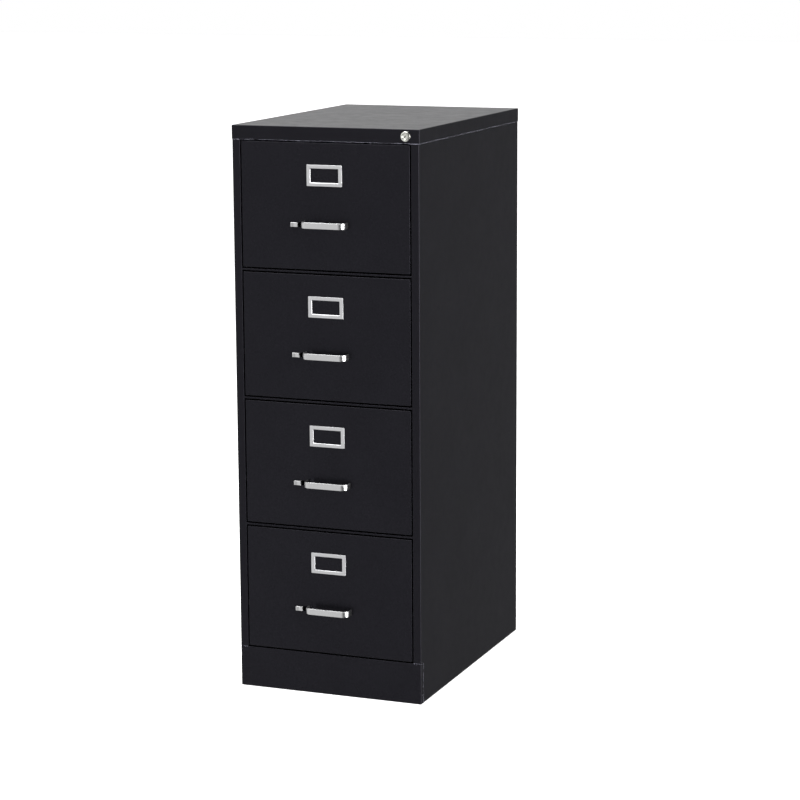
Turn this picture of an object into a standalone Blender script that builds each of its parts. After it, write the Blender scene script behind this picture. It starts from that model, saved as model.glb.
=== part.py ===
"""Four-drawer vertical filing cabinet in folded sheet steel, legal width.

Units are metres, +Z is up, the drawers open towards -Y, and the origin is the middle of
the footprint on the floor, handles included. Each assembly hangs from an empty: the case
and each drawer measure their depths back from the drawer faces.
"""

import math

import bmesh
import bpy
from mathutils import Matrix, Vector

# Overall sizes
CAP_WIDTH = 0.4572
CAP_DEPTH = 0.6731
HEIGHT = 1.3208
DRAWER_COUNT = 4

# Sheet metal
CASE_SHEET = 0.0010
FRONT_SHEET = 0.0012
TRAY_SHEET = 0.0010
SLIDE_SHEET = 0.0013
BEND_RADIUS = 0.0017
BEND_STEPS = 3

# Clearances
SEAT = 0.0003
EMBED = 0.0005
FOOT_REVEAL = 0.0010
DRAWER_GAP = 0.0032
DRAWER_SIDE_GAP = 0.0030
SLIDE_RUN = 0.0004
LATCH_RUN = 0.0005
LOCK_RUN = 0.0003
CAM_GAP = 0.0032
POST_GAP = 0.0025
LUG_SIDE_GAP = 0.0027

# Case frame
CAP_HEIGHT = 0.0320
KICK_HEIGHT = 0.0965
KICK_RETURN = 0.0150
STILE_WIDTH = 0.0190
STILE_RETURN = 0.0250
REAR_FLANGE = 0.0150
RAIL_HEIGHT = 0.0047
RAIL_DEPTH = 0.0200
RAIL_SETBACK = 0.0006
HEADER_DEPTH = 0.0180
BASE_LIFT = 0.0250
BASE_FLANGE = 0.0200
POST_FLANGE = 0.0120
POST_WEB = 0.0300
POST_REAR_INSET = 0.0400

# Levelling glides
GLIDE_FOOT_RADIUS = 0.0140
GLIDE_FOOT_HEIGHT = 0.0060
GLIDE_STUD_RADIUS = 0.0040
GLIDE_INSET = 0.0450
GLIDE_SEGMENTS = 20

# Slides: three nested channels on each side of a drawer
SLIDE_THICKNESS = 0.0127
SLIDE_HEIGHT = 0.0450
SLIDE_RACE = 0.0038
SLIDE_LIP_INSET = 0.0017
SLIDE_FRONT = 0.0500
SLIDE_REAR_ROOM = 0.0160
SLIDE_RISE = 0.0750

# Drawers
FRONT_DEPTH = 0.0200
TRAY_LIFT = 0.0080
TRAY_HEADROOM = 0.0400
TRAY_REAR_ROOM = 0.0200
REAR_WALL_INSET = 0.0080

# Drawer hardware, placed from the middle of the top edge of each drawer face
HANDLE_HALF_WIDTH = 0.0540
HANDLE_REACH = 0.0280
HANDLE_HEIGHT = 0.0142
HANDLE_THICKNESS = 0.0030
HANDLE_CORNER = 0.0150
HANDLE_CORNER_STEPS = 5
HANDLE_DROP = 0.1843
HANDLE_OFFSET = 0.0025
LABEL_WIDTH = 0.0860
LABEL_HEIGHT = 0.0484
LABEL_BORDER_SIDE = 0.0090
LABEL_BORDER_TOP = 0.0083
LABEL_THICKNESS = 0.0022
LABEL_CORNER = 0.0015
LABEL_DROP = 0.0737
LABEL_OFFSET = 0.0010
LATCH_LEFT = 0.0828
LATCH_WIDTH = 0.0175
LATCH_HEIGHT = 0.0104
LATCH_PROUD = 0.0060
LATCH_DROP = 0.1860
LATCH_TRAVEL = 0.0075
LATCH_BAR_DEPTH = 0.0080
LATCH_BAR_THICKNESS = 0.0020
LATCH_BAR_HEIGHT = 0.0100
STRIKE_MARGIN = 0.0020

# Lock in the cap's front flange, its cam and the bar that it shifts
LOCK_INSET = 0.0318
LOCK_BEZEL_RADIUS = 0.0113
LOCK_BEZEL_PROUD = 0.0020
LOCK_BARREL_RADIUS = 0.0094
LOCK_BARREL_LENGTH = 0.0195
LOCK_PLUG_RADIUS = 0.0067
LOCK_SEGMENTS = 32
KEYWAY_WIDTH = 0.0020
KEYWAY_HEIGHT = 0.0084
KEYWAY_DEPTH = 0.0080
KEYWAY_TILT = math.radians(45)
CAM_THICKNESS = 0.0020
CAM_HALF_WIDTH = 0.0040
CAM_THROW = 0.0071
CAM_START = math.radians(-45)
CAM_PIN_RADIUS = 0.0015
CAM_PIN_SEGMENTS = 12
LOCK_BAR_THICKNESS = 0.0015
LOCK_BAR_WIDTH = 0.0120
LOCK_BAR_WALL_GAP = 0.0010
LOCK_BAR_NOTCH_GAP = 0.0010
LOCK_BAR_NOTCH_MARGIN = 0.0046
LOCK_BAR_OFFSET = 0.0030
LOCK_BAR_TAIL = 0.0450
LOCK_BAR_BRACKET_WALL = 0.0028
LUG_RISE = 0.1500
LUG_HEIGHT = 0.0100
LUG_LENGTH = 0.0080
LUG_SLACK = 0.0010

# Colours: base colour, roughness, metallic
FINISHES = {
    "black_paint": ((0.018, 0.018, 0.020), 0.42, 0.0),
    "galvanised_steel": ((0.45, 0.46, 0.47), 0.38, 1.0),
    "satin_chrome": ((0.62, 0.62, 0.63), 0.25, 1.0),
    "bright_nickel": ((0.70, 0.70, 0.68), 0.15, 1.0),
    "black_nylon": ((0.02, 0.02, 0.02), 0.55, 0.0),
}

# Places worked out from the sizes above; depths run back from the drawer faces
FRONT_Y = -(CAP_DEPTH - HANDLE_REACH) / 2
CASE_HALF = CAP_WIDTH / 2 - CASE_SHEET - SEAT
CASE_INNER = CASE_HALF - CASE_SHEET
CASE_TOP = HEIGHT - CASE_SHEET - SEAT
OPENING_HALF = CASE_HALF - STILE_WIDTH
STILE_TOP = HEIGHT - CAP_HEIGHT - SEAT
BACK_OUTER = CAP_DEPTH - CASE_SHEET - SEAT
SIDE_REAR = BACK_OUTER - CASE_SHEET - SEAT
REAR_INNER = SIDE_REAR - CASE_SHEET
FACE_HEIGHT = (
    HEIGHT - CAP_HEIGHT - KICK_HEIGHT - 2 * DRAWER_COUNT * DRAWER_GAP - (DRAWER_COUNT - 1) * RAIL_HEIGHT
) / DRAWER_COUNT
PITCH = FACE_HEIGHT + RAIL_HEIGHT + 2 * DRAWER_GAP
FACE_HALF = OPENING_HALF - DRAWER_SIDE_GAP
SLIDE_BACK = OPENING_HALF
TRAY_HALF = SLIDE_BACK - SLIDE_THICKNESS
TRAY_FRONT = FRONT_DEPTH + SEAT
TRAY_BACK = REAR_INNER - TRAY_REAR_ROOM
TRAY_TOP = FACE_HEIGHT - TRAY_HEADROOM
SLIDE_END = REAR_INNER - SLIDE_REAR_ROOM
LOCK_X = CASE_HALF - LOCK_INSET
LOCK_Z = HEIGHT - CAP_HEIGHT / 2
PLUG_LENGTH = LOCK_BEZEL_PROUD + LOCK_BARREL_LENGTH + EMBED
CAM_FRONT = PLUG_LENGTH - LOCK_BEZEL_PROUD + SEAT
LOCK_BAR_X = OPENING_HALF + LOCK_BAR_OFFSET
LOCK_BAR_REACH = CASE_INNER - LOCK_BAR_WALL_GAP - LOCK_BAR_X
LOCK_BAR_TRAVEL = 2 * CAM_THROW * math.cos(CAM_START)
LOCK_BAR_NOTCH = LOCK_BAR_TRAVEL + LOCK_BAR_NOTCH_GAP - LOCK_BAR_OFFSET
LOCK_BAR_FRONT = max(
    STILE_RETURN + LATCH_RUN,
    CAM_FRONT + CAM_THICKNESS + CAM_GAP,
    TRAY_FRONT + TRAY_SHEET + LUG_SLACK,
)
POST_FRONT = LOCK_BAR_FRONT + LOCK_BAR_WIDTH + POST_GAP


def drawer_foot(number):
    """Height of the bottom edge of a drawer's face; number 1 is the top drawer."""
    return KICK_HEIGHT + DRAWER_GAP + (DRAWER_COUNT - number) * PITCH


# Mesh builders


def mesh_of(bm):
    mesh = bpy.data.meshes.new("shape")
    bm.to_mesh(mesh)
    bm.free()
    return mesh


def evaluated_mesh(mesh, add_modifiers):
    """The mesh that the modifiers make of a mesh, with the helper object removed."""
    helper = bpy.data.objects.new("helper", mesh)
    bpy.context.scene.collection.objects.link(helper)
    add_modifiers(helper)
    graph = bpy.context.evaluated_depsgraph_get()
    result = bpy.data.meshes.new_from_object(helper.evaluated_get(graph))
    bpy.data.objects.remove(helper)
    return result


def thickened(mesh, thickness):
    def add_solidify(helper):
        solidify = helper.modifiers.new("thickness", "SOLIDIFY")
        solidify.thickness = thickness
        solidify.offset = -1
        solidify.use_even_offset = True

    return evaluated_mesh(mesh, add_solidify)


def joined(meshes):
    """One body made of meshes that overlap."""
    tools = []
    for mesh in meshes[1:]:
        tool = bpy.data.objects.new("tool", mesh)
        bpy.context.scene.collection.objects.link(tool)
        tools.append(tool)

    def add_unions(helper):
        for tool in tools:
            union = helper.modifiers.new("join", "BOOLEAN")
            union.operation = "UNION"
            union.object = tool

    result = evaluated_mesh(meshes[0], add_unions)
    for tool in tools:
        bpy.data.objects.remove(tool)
    return result


def moved(mesh, matrix):
    """A copy of the mesh through the matrix, with its faces still pointing out."""
    copy = mesh.copy()
    copy.transform(matrix)
    if matrix.determinant() < 0:
        copy.flip_normals()
    return copy


def mirrored(mesh):
    return moved(mesh, Matrix.Scale(-1, 4, Vector((1, 0, 0))))


def filleted(corners, radius, steps=BEND_STEPS):
    """The open path through the corners, with an arc in place of each inner corner."""
    path = [Vector(corners[0])]
    for before, at, after in zip(corners, corners[1:], corners[2:]):
        corner = Vector(at)
        back = (Vector(before) - corner).normalized()
        ahead = (Vector(after) - corner).normalized()
        half_angle = back.angle(ahead) / 2
        centre = corner + (back + ahead).normalized() * radius / math.sin(half_angle)
        start = corner + back * radius / math.tan(half_angle) - centre
        end = corner + ahead * radius / math.tan(half_angle) - centre
        first = math.atan2(start.y, start.x)
        turn = (math.atan2(end.y, end.x) - first + math.pi) % math.tau - math.pi
        for step in range(steps + 1):
            angle = first + turn * step / steps
            path.append(centre + radius * Vector((math.cos(angle), math.sin(angle))))
    path.append(Vector(corners[-1]))
    return path


def bent_sheet(path, length, thickness, along="Z"):
    """A folded sheet: its section follows the path, and its thickness lies left of it.

    The path is in (x, y) for a sheet along Z, (x, z) along Y and (y, z) along X.
    """
    bm = bmesh.new()
    low = [bm.verts.new((u, v, 0)) for u, v in path]
    high = [bm.verts.new((u, v, length)) for u, v in path]
    for i in range(len(path) - 1):
        bm.faces.new((low[i], low[i + 1], high[i + 1], high[i]))
    sheet = thickened(mesh_of(bm), thickness)
    turns = {
        "Z": Matrix.Identity(4),
        "Y": Matrix(((1, 0, 0, 0), (0, 0, 1, 0), (0, 1, 0, 0), (0, 0, 0, 1))),
        "X": Matrix(((0, 0, 1, 0), (1, 0, 0, 0), (0, 1, 0, 0), (0, 0, 0, 1))),
    }
    return moved(sheet, turns[along])


def box(low, high):
    """A solid box between two corners."""
    low = Vector(low)
    high = Vector(high)
    bm = bmesh.new()
    bmesh.ops.create_cube(bm, size=1)
    bmesh.ops.scale(bm, vec=high - low, verts=bm.verts)
    bmesh.ops.translate(bm, vec=(low + high) / 2, verts=bm.verts)
    return mesh_of(bm)


def pan(low, high, open_sides, thickness, radius=BEND_RADIUS):
    """A folded pan: a box shell with some sides left out, rounded where it is folded."""
    bm = bmesh.new()
    bm.from_mesh(box(low, high))
    bm.normal_update()
    gone = [f for f in bm.faces if any(f.normal.dot(Vector(side)) > 0.9 for side in open_sides)]
    bmesh.ops.delete(bm, geom=gone, context="FACES_ONLY")
    folds = [edge for edge in bm.edges if len(edge.link_faces) == 2]
    loose = [edge for edge in bm.edges if not edge.link_faces]
    bmesh.ops.delete(bm, geom=loose, context="EDGES")
    bmesh.ops.bevel(bm, geom=folds, offset=radius, segments=BEND_STEPS, profile=0.5, affect="EDGES")
    return thickened(mesh_of(bm), thickness)


def cylinder(radius, length, segments):
    """A solid cylinder whose axis is Y, from depth 0 back to its length."""
    bm = bmesh.new()
    bmesh.ops.create_cone(
        bm, cap_ends=True, segments=segments, radius1=radius, radius2=radius, depth=length
    )
    bmesh.ops.rotate(bm, verts=bm.verts, cent=(0, 0, 0), matrix=Matrix.Rotation(math.pi / 2, 3, "X"))
    bmesh.ops.translate(bm, verts=bm.verts, vec=(0, length / 2, 0))
    return mesh_of(bm)


def turned(profile, segments, closed=False):
    """A shape turned about Z from a profile of (radius, height) that runs down its outer side."""
    bm = bmesh.new()
    verts = [bm.verts.new((radius, 0, height)) for radius, height in profile]
    for first, second in zip(verts, verts[1:]):
        bm.edges.new((first, second))
    if closed:
        bm.edges.new((verts[-1], verts[0]))

    def add_screw(helper):
        screw = helper.modifiers.new("turn", "SCREW")
        screw.steps = segments
        screw.render_steps = segments
        screw.use_merge_vertices = True
        screw.merge_threshold = 0.00001

    return evaluated_mesh(mesh_of(bm), add_screw)


def facing_front(mesh):
    """A shape turned about Z, laid down so that its top faces the front."""
    return moved(mesh, Matrix.Rotation(math.pi / 2, 4, "X"))


def rounded_rectangle(width, height, radius):
    """The corners of a rectangle about the origin in (x, z), each one an arc."""
    outline = []
    for quarter, (side, end) in enumerate(((1, 1), (-1, 1), (-1, -1), (1, -1))):
        centre = Vector((side * (width / 2 - radius), end * (height / 2 - radius)))
        for step in range(BEND_STEPS + 1):
            angle = (quarter + step / BEND_STEPS) * math.pi / 2
            outline.append(centre + radius * Vector((math.cos(angle), math.sin(angle))))
    return outline


def plate(outlines, thickness):
    """A flat plate that faces the front: the first outline is its edge, the others holes."""
    curve = bpy.data.curves.new("outline", "CURVE")
    curve.dimensions = "2D"
    curve.fill_mode = "BOTH"
    curve.extrude = thickness / 2
    for outline in outlines:
        spline = curve.splines.new("POLY")
        spline.points.add(len(outline) - 1)
        for point, (x, z) in zip(spline.points, outline):
            point.co = (x, z, 0, 1)
        spline.use_cyclic_u = True
    helper = bpy.data.objects.new("helper", curve)
    bpy.context.scene.collection.objects.link(helper)
    graph = bpy.context.evaluated_depsgraph_get()
    flat = bpy.data.meshes.new_from_object(helper.evaluated_get(graph))
    bpy.data.objects.remove(helper)
    bm = bmesh.new()
    bm.from_mesh(flat)
    bmesh.ops.remove_doubles(bm, verts=bm.verts, dist=0.000001)
    bmesh.ops.recalc_face_normals(bm, faces=bm.faces)
    return moved(mesh_of(bm), Matrix.Rotation(math.pi / 2, 4, "X"))


def shifted(mesh, x=0.0, y=0.0, z=0.0):
    return moved(mesh, Matrix.Translation((x, y, z)))


# Scene helpers


def clear_scene():
    for obj in list(bpy.data.objects):
        bpy.data.objects.remove(obj)


def collection(name):
    made = bpy.data.collections.new(name)
    bpy.context.scene.collection.children.link(made)
    return made


def finish_material(name):
    found = bpy.data.materials.get(name)
    if found:
        return found
    colour, roughness, metallic = FINISHES[name]
    made = bpy.data.materials.new(name)
    made.use_nodes = True
    shader = made.node_tree.nodes["Principled BSDF"]
    shader.inputs["Base Color"].default_value = (*colour, 1)
    shader.inputs["Roughness"].default_value = roughness
    shader.inputs["Metallic"].default_value = metallic
    return made


def add_empty(name, location, parent=None):
    empty = bpy.data.objects.new(name, None)
    empty.location = location
    empty.parent = parent
    PARTS.objects.link(empty)
    return empty


def add_part(name, mesh, finish, parent, location=(0, 0, 0)):
    """A named sub-part, shaded smooth except at its folds."""
    part = bpy.data.objects.new(name, mesh)
    part.parent = parent
    part.location = location
    PARTS.objects.link(part)
    mesh.materials.clear()
    mesh.materials.append(finish_material(finish))
    mesh.shade_smooth()
    mesh.set_sharp_from_angle(angle=math.radians(35))
    return part


def cut(part, name, mesh, location=(0, 0, 0)):
    """Cuts the mesh from the part; the cutter hangs from the part's own parent."""
    cutter = bpy.data.objects.new(name, mesh)
    cutter.parent = part.parent
    cutter.location = location
    cutter.hide_render = True
    cutter.display_type = "WIRE"
    CUTTERS.objects.link(cutter)
    boolean = part.modifiers.new(name, "BOOLEAN")
    boolean.operation = "DIFFERENCE"
    boolean.object = cutter


# Case


def side_panel_mesh():
    """Left side, front stile and rear flange in one sheet, seen from above."""
    corners = (
        (-CASE_HALF + REAR_FLANGE, SIDE_REAR),
        (-CASE_HALF, SIDE_REAR),
        (-CASE_HALF, 0),
        (-OPENING_HALF, 0),
        (-OPENING_HALF, STILE_RETURN),
    )
    sheet = bent_sheet(filleted(corners, BEND_RADIUS), CASE_TOP - FOOT_REVEAL, CASE_SHEET)
    return shifted(sheet, z=FOOT_REVEAL)


def notch_stile(side, hand, name, low, high, front):
    """Cuts a side's front away between two heights, where the cap or the kick panel covers it."""
    spare = 2 * CASE_SHEET
    near = sorted((hand * (CASE_HALF + spare), hand * (OPENING_HALF - spare)))
    leg = sorted((hand * (OPENING_HALF + spare), hand * (OPENING_HALF - spare)))
    cut(side, f"{name}_face", box((near[0], -spare, low), (near[1], front, high)))
    cut(side, f"{name}_leg", box((leg[0], 0, low), (leg[1], STILE_RETURN + spare, high)))


def build_sides(case):
    left = side_panel_mesh()
    for name, hand, mesh in (("left", -1, left), ("right", 1, mirrored(left))):
        side = add_part(f"case_side_{name}", mesh, "black_paint", case)
        notch_stile(side, hand, f"cap_notch_{name}", STILE_TOP, HEIGHT, BEND_RADIUS + SEAT)
        notch_stile(side, hand, f"kick_notch_{name}", 0, KICK_HEIGHT + SEAT, KICK_RETURN + SEAT)
        if hand > 0:
            continue
        for number in range(1, DRAWER_COUNT + 1):
            middle = drawer_foot(number) + FACE_HEIGHT - LATCH_DROP
            half = LATCH_BAR_HEIGHT / 2 + STRIKE_MARGIN
            strike = box(
                (-OPENING_HALF - 2 * CASE_SHEET, LATCH_BAR_DEPTH - STRIKE_MARGIN, middle - half),
                (
                    -OPENING_HALF + CASE_SHEET,
                    LATCH_BAR_DEPTH + LATCH_BAR_THICKNESS + STRIKE_MARGIN,
                    middle + half,
                ),
            )
            cut(side, f"strike_slot_{number}", strike)


def build_skin(case):
    back = box((-CASE_HALF, BACK_OUTER - CASE_SHEET, FOOT_REVEAL), (CASE_HALF, BACK_OUTER, CASE_TOP))
    add_part("back_panel", back, "black_paint", case)

    cap_mesh = pan(
        (-CAP_WIDTH / 2, 0, HEIGHT - CAP_HEIGHT),
        (CAP_WIDTH / 2, CAP_DEPTH, HEIGHT),
        ((0, 0, -1),),
        CASE_SHEET,
    )
    cap = add_part("top_cap", cap_mesh, "black_paint", case)
    cut(cap, "cap_lock_hole", lock_hole(), (LOCK_X, 0, LOCK_Z))

    kick = pan(
        (-CASE_HALF, 0, FOOT_REVEAL),
        (CASE_HALF, KICK_RETURN, KICK_HEIGHT),
        ((0, 1, 0), (0, 0, -1)),
        CASE_SHEET,
    )
    add_part("kick_panel", kick, "black_paint", case)

    base = pan(
        (-CASE_INNER + SEAT, KICK_RETURN + SEAT, BASE_LIFT),
        (CASE_INNER - SEAT, REAR_INNER - SEAT, BASE_LIFT + BASE_FLANGE),
        ((0, 0, 1),),
        CASE_SHEET,
    )
    add_part("base_pan", base, "black_paint", case)


def build_rails(case):
    top = CASE_TOP - CASE_SHEET
    foot = STILE_TOP + CASE_SHEET
    front = CASE_SHEET + SEAT
    corners = ((front + HEADER_DEPTH, top), (front, top), (front, foot), (front + HEADER_DEPTH, foot))
    width = 2 * (CASE_INNER - SEAT)
    header_mesh = bent_sheet(filleted(corners, BEND_RADIUS), width, CASE_SHEET, "X")
    header = add_part("header_rail", shifted(header_mesh, x=-width / 2), "black_paint", case)
    cut(header, "header_lock_hole", lock_hole(), (LOCK_X, 0, LOCK_Z))

    back = RAIL_SETBACK + RAIL_DEPTH
    corners = (
        (back, RAIL_HEIGHT),
        (RAIL_SETBACK, RAIL_HEIGHT),
        (RAIL_SETBACK, 0),
        (back, 0),
    )
    width = 2 * (OPENING_HALF - SEAT)
    rail = shifted(bent_sheet(filleted(corners, BEND_RADIUS), width, CASE_SHEET, "X"), x=-width / 2)
    for number in range(1, DRAWER_COUNT):
        height = drawer_foot(number) - DRAWER_GAP - RAIL_HEIGHT
        add_part(f"cross_rail_{number}", rail, "black_paint", case, (0, 0, height))


def build_posts(case):
    """Hat-section posts inside each side, which carry the slides."""
    wall = CASE_INNER - SEAT - CASE_SHEET
    face = SLIDE_BACK + SEAT
    corners = (
        (-wall, 0),
        (-wall, POST_FLANGE),
        (-face, POST_FLANGE),
        (-face, POST_FLANGE + POST_WEB),
        (-wall, POST_FLANGE + POST_WEB),
        (-wall, 2 * POST_FLANGE + POST_WEB),
    )
    foot = BASE_LIFT + BASE_FLANGE + SEAT
    top = STILE_TOP - SEAT
    left = shifted(bent_sheet(filleted(corners, BEND_RADIUS), top - foot, CASE_SHEET), z=foot)
    right = mirrored(left)
    depths = {"front": POST_FRONT, "rear": REAR_INNER - POST_REAR_INSET - 2 * POST_FLANGE - POST_WEB}
    for end, depth in depths.items():
        for hand, mesh in (("left", left), ("right", right)):
            add_part(f"post_{end}_{hand}", mesh, "galvanised_steel", case, (0, depth, 0))


def build_glides(case):
    top = BASE_LIFT - SEAT
    profile = (
        (0, top),
        (GLIDE_STUD_RADIUS, top),
        (GLIDE_STUD_RADIUS, GLIDE_FOOT_HEIGHT),
        (GLIDE_FOOT_RADIUS, GLIDE_FOOT_HEIGHT / 2),
        (GLIDE_FOOT_RADIUS, 0),
        (0, 0),
    )
    glide = turned(profile, GLIDE_SEGMENTS)
    for end, depth in (("front", GLIDE_INSET), ("rear", REAR_INNER - GLIDE_INSET)):
        for hand, x in (("left", GLIDE_INSET - CASE_HALF), ("right", CASE_HALF - GLIDE_INSET)):
            add_part(f"glide_{end}_{hand}", glide, "black_nylon", case, (x, depth, 0))


# Slides, with their backs at x = 0 and reaching towards +X, about their own middle


def channel(back, lip, half_height, length):
    """A channel that opens away from its back, or towards -X where the lip is behind it."""
    sign = 1 if lip > back else -1
    corners = (
        (lip, sign * half_height),
        (back, sign * half_height),
        (back, -sign * half_height),
        (lip, -sign * half_height),
    )
    return bent_sheet(filleted(corners, BEND_RADIUS), length, SLIDE_SHEET, "Y")


CASE_MEMBER_HALF = SLIDE_HEIGHT / 2
MID_MEMBER_HALF = CASE_MEMBER_HALF - SLIDE_SHEET - SLIDE_RACE
DRAWER_MEMBER_HALF = MID_MEMBER_HALF - SLIDE_SHEET - SLIDE_RACE
MID_MEMBER_BACK = SLIDE_SHEET + SLIDE_RUN
DRAWER_MEMBER_LIP = MID_MEMBER_BACK + SLIDE_SHEET + SLIDE_RUN
SLIDE_LENGTH = SLIDE_END - SLIDE_FRONT


def build_slides(number, case, carriage):
    """The case channels of one drawer, and the middle channels that move half as far as it."""
    height = drawer_foot(number) + SLIDE_RISE
    lip = SLIDE_THICKNESS - SLIDE_LIP_INSET
    outer = channel(0, lip, CASE_MEMBER_HALF, SLIDE_LENGTH)
    middle = channel(MID_MEMBER_BACK, lip, MID_MEMBER_HALF, SLIDE_LENGTH)
    for hand, sign, shape in (("left", -1, lambda mesh: mesh), ("right", 1, mirrored)):
        place = (sign * SLIDE_BACK, SLIDE_FRONT, height)
        add_part(f"drawer_{number}_case_slide_{hand}", shape(outer), "galvanised_steel", case, place)
        place = (sign * SLIDE_BACK, 0, 0)
        add_part(f"drawer_{number}_mid_slide_{hand}", shape(middle), "galvanised_steel", carriage, place)


# Drawers, with their origin in the middle of the bottom edge of the face


def front_mesh():
    return pan((-FACE_HALF, 0, 0), (FACE_HALF, FRONT_DEPTH, FACE_HEIGHT), ((0, 1, 0),), FRONT_SHEET)


def tray_mesh():
    """Folded bottom and sides, front and rear walls, the drawer's own slide channels and the lock lug."""
    corners = (
        (-TRAY_HALF, TRAY_TOP),
        (-TRAY_HALF, TRAY_LIFT),
        (TRAY_HALF, TRAY_LIFT),
        (TRAY_HALF, TRAY_TOP),
    )
    start = TRAY_FRONT + EMBED
    trough = bent_sheet(filleted(corners, BEND_RADIUS), TRAY_BACK - start, TRAY_SHEET, "Y")
    trough = shifted(trough, y=start)
    front_wall = box(
        (-FACE_HALF, TRAY_FRONT, SEAT), (FACE_HALF, TRAY_FRONT + TRAY_SHEET, FACE_HEIGHT - SEAT)
    )
    inside = TRAY_HALF - TRAY_SHEET / 2
    rear_wall = box(
        (-inside, TRAY_BACK - REAR_WALL_INSET - TRAY_SHEET, TRAY_LIFT + EMBED),
        (inside, TRAY_BACK - REAR_WALL_INSET, TRAY_TOP - EMBED),
    )
    runner = channel(SLIDE_THICKNESS + EMBED, DRAWER_MEMBER_LIP, DRAWER_MEMBER_HALF, SLIDE_LENGTH)
    left_runner = shifted(runner, x=-SLIDE_BACK, y=SLIDE_FRONT, z=SLIDE_RISE)
    lug_front = LOCK_BAR_FRONT + LOCK_BAR_WIDTH + LUG_SLACK
    lug = box(
        (inside, lug_front, LUG_RISE),
        (OPENING_HALF - LUG_SIDE_GAP, lug_front + LUG_LENGTH, LUG_RISE + LUG_HEIGHT),
    )
    return joined((trough, front_wall, rear_wall, left_runner, mirrored(left_runner), lug))


def handle_mesh():
    """A flat strap bent into a U, standing out from the face."""
    corners = (
        (-HANDLE_HALF_WIDTH, -SEAT),
        (-HANDLE_HALF_WIDTH, -HANDLE_REACH),
        (HANDLE_HALF_WIDTH, -HANDLE_REACH),
        (HANDLE_HALF_WIDTH, -SEAT),
    )
    path = filleted(corners, HANDLE_CORNER, HANDLE_CORNER_STEPS)
    return shifted(bent_sheet(path, HANDLE_HEIGHT, HANDLE_THICKNESS), z=-HANDLE_HEIGHT / 2)


def label_holder_mesh():
    window = (LABEL_WIDTH - 2 * LABEL_BORDER_SIDE, LABEL_HEIGHT - 2 * LABEL_BORDER_TOP)
    outlines = (
        rounded_rectangle(LABEL_WIDTH, LABEL_HEIGHT, LABEL_CORNER),
        rounded_rectangle(*window, LABEL_CORNER / 2),
    )
    return shifted(plate(outlines, LABEL_THICKNESS), y=-SEAT - LABEL_THICKNESS / 2)


def latch_mesh():
    """The thumb block and, behind the face, the bar that runs out to the left stile."""
    half = LATCH_HEIGHT / 2
    bar_half = LATCH_BAR_HEIGHT / 2
    bar_back = LATCH_BAR_DEPTH + LATCH_BAR_THICKNESS
    block = box((-LATCH_LEFT, -LATCH_PROUD, -half), (-LATCH_LEFT + LATCH_WIDTH, bar_back - EMBED, half))
    bar = box(
        (-OPENING_HALF + LATCH_RUN, LATCH_BAR_DEPTH, -bar_half),
        (-LATCH_LEFT + LATCH_WIDTH / 2, bar_back, bar_half),
    )
    return joined((block, bar))


def latch_hole():
    half = LATCH_HEIGHT / 2 + LATCH_RUN
    return box(
        (-LATCH_LEFT - LATCH_RUN, -FRONT_SHEET, -half),
        (-LATCH_LEFT + LATCH_WIDTH + LATCH_TRAVEL + LATCH_RUN, 2 * FRONT_SHEET, half),
    )


def latch_bar_slot():
    half = LATCH_BAR_HEIGHT / 2 + LATCH_RUN
    return box(
        (-FACE_HALF - FRONT_SHEET, LATCH_BAR_DEPTH - LATCH_RUN, -half),
        (-FACE_HALF + 2 * FRONT_SHEET, LATCH_BAR_DEPTH + LATCH_BAR_THICKNESS + LATCH_RUN, half),
    )


def build_drawer(number, shapes):
    """One drawer with its handle, label holder and thumb latch."""
    foot = drawer_foot(number)
    drawer = add_empty(f"drawer_{number}_slide_axis", (0, FRONT_Y, foot))
    name = f"drawer_{number}"
    front = add_part(f"{name}_front", shapes["front"], "black_paint", drawer)
    latch_place = (0, 0, FACE_HEIGHT - LATCH_DROP)
    cut(front, f"{name}_latch_hole", shapes["latch_hole"], latch_place)
    cut(front, f"{name}_latch_bar_slot", shapes["latch_bar_slot"], latch_place)
    add_part(f"{name}_tray", shapes["tray"], "black_paint", drawer)
    place = (HANDLE_OFFSET, 0, FACE_HEIGHT - HANDLE_DROP)
    add_part(f"{name}_handle", shapes["handle"], "satin_chrome", drawer, place)
    place = (LABEL_OFFSET, 0, FACE_HEIGHT - LABEL_DROP)
    add_part(f"{name}_label_holder", shapes["label_holder"], "satin_chrome", drawer, place)
    latch = add_empty(f"{name}_latch_axis", latch_place, drawer)
    add_part(f"{name}_latch", shapes["latch"], "satin_chrome", latch)


# Lock


def lock_hole():
    """A cutter for the barrel's hole through the cap's front flange and the header rail."""
    length = 2 * (CASE_SHEET + SEAT) + HEADER_DEPTH / 2
    hole = cylinder(LOCK_BARREL_RADIUS + LOCK_RUN, length, LOCK_SEGMENTS)
    return shifted(hole, y=-length / 4)


def lock_housing_mesh():
    bore = LOCK_PLUG_RADIUS + LOCK_RUN
    profile = (
        (bore, LOCK_BEZEL_PROUD),
        (LOCK_BEZEL_RADIUS, LOCK_BEZEL_PROUD),
        (LOCK_BEZEL_RADIUS, SEAT),
        (LOCK_BARREL_RADIUS, SEAT),
        (LOCK_BARREL_RADIUS, -LOCK_BARREL_LENGTH),
        (bore, -LOCK_BARREL_LENGTH),
    )
    return facing_front(turned(profile, LOCK_SEGMENTS, closed=True))


def capsule(start, end, half_width, steps=8):
    """The outline around two points in (x, z), round at both ends."""
    start = Vector(start)
    end = Vector(end)
    along = end - start
    heading = math.atan2(along.y, along.x)
    outline = []
    for centre, turn in ((end, -math.pi / 2), (start, math.pi / 2)):
        for step in range(steps + 1):
            angle = heading + turn + math.pi * step / steps
            outline.append(centre + half_width * Vector((math.cos(angle), math.sin(angle))))
    return outline


def pin_offset(angle):
    return (CAM_THROW * math.cos(angle), CAM_THROW * math.sin(angle))


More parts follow.
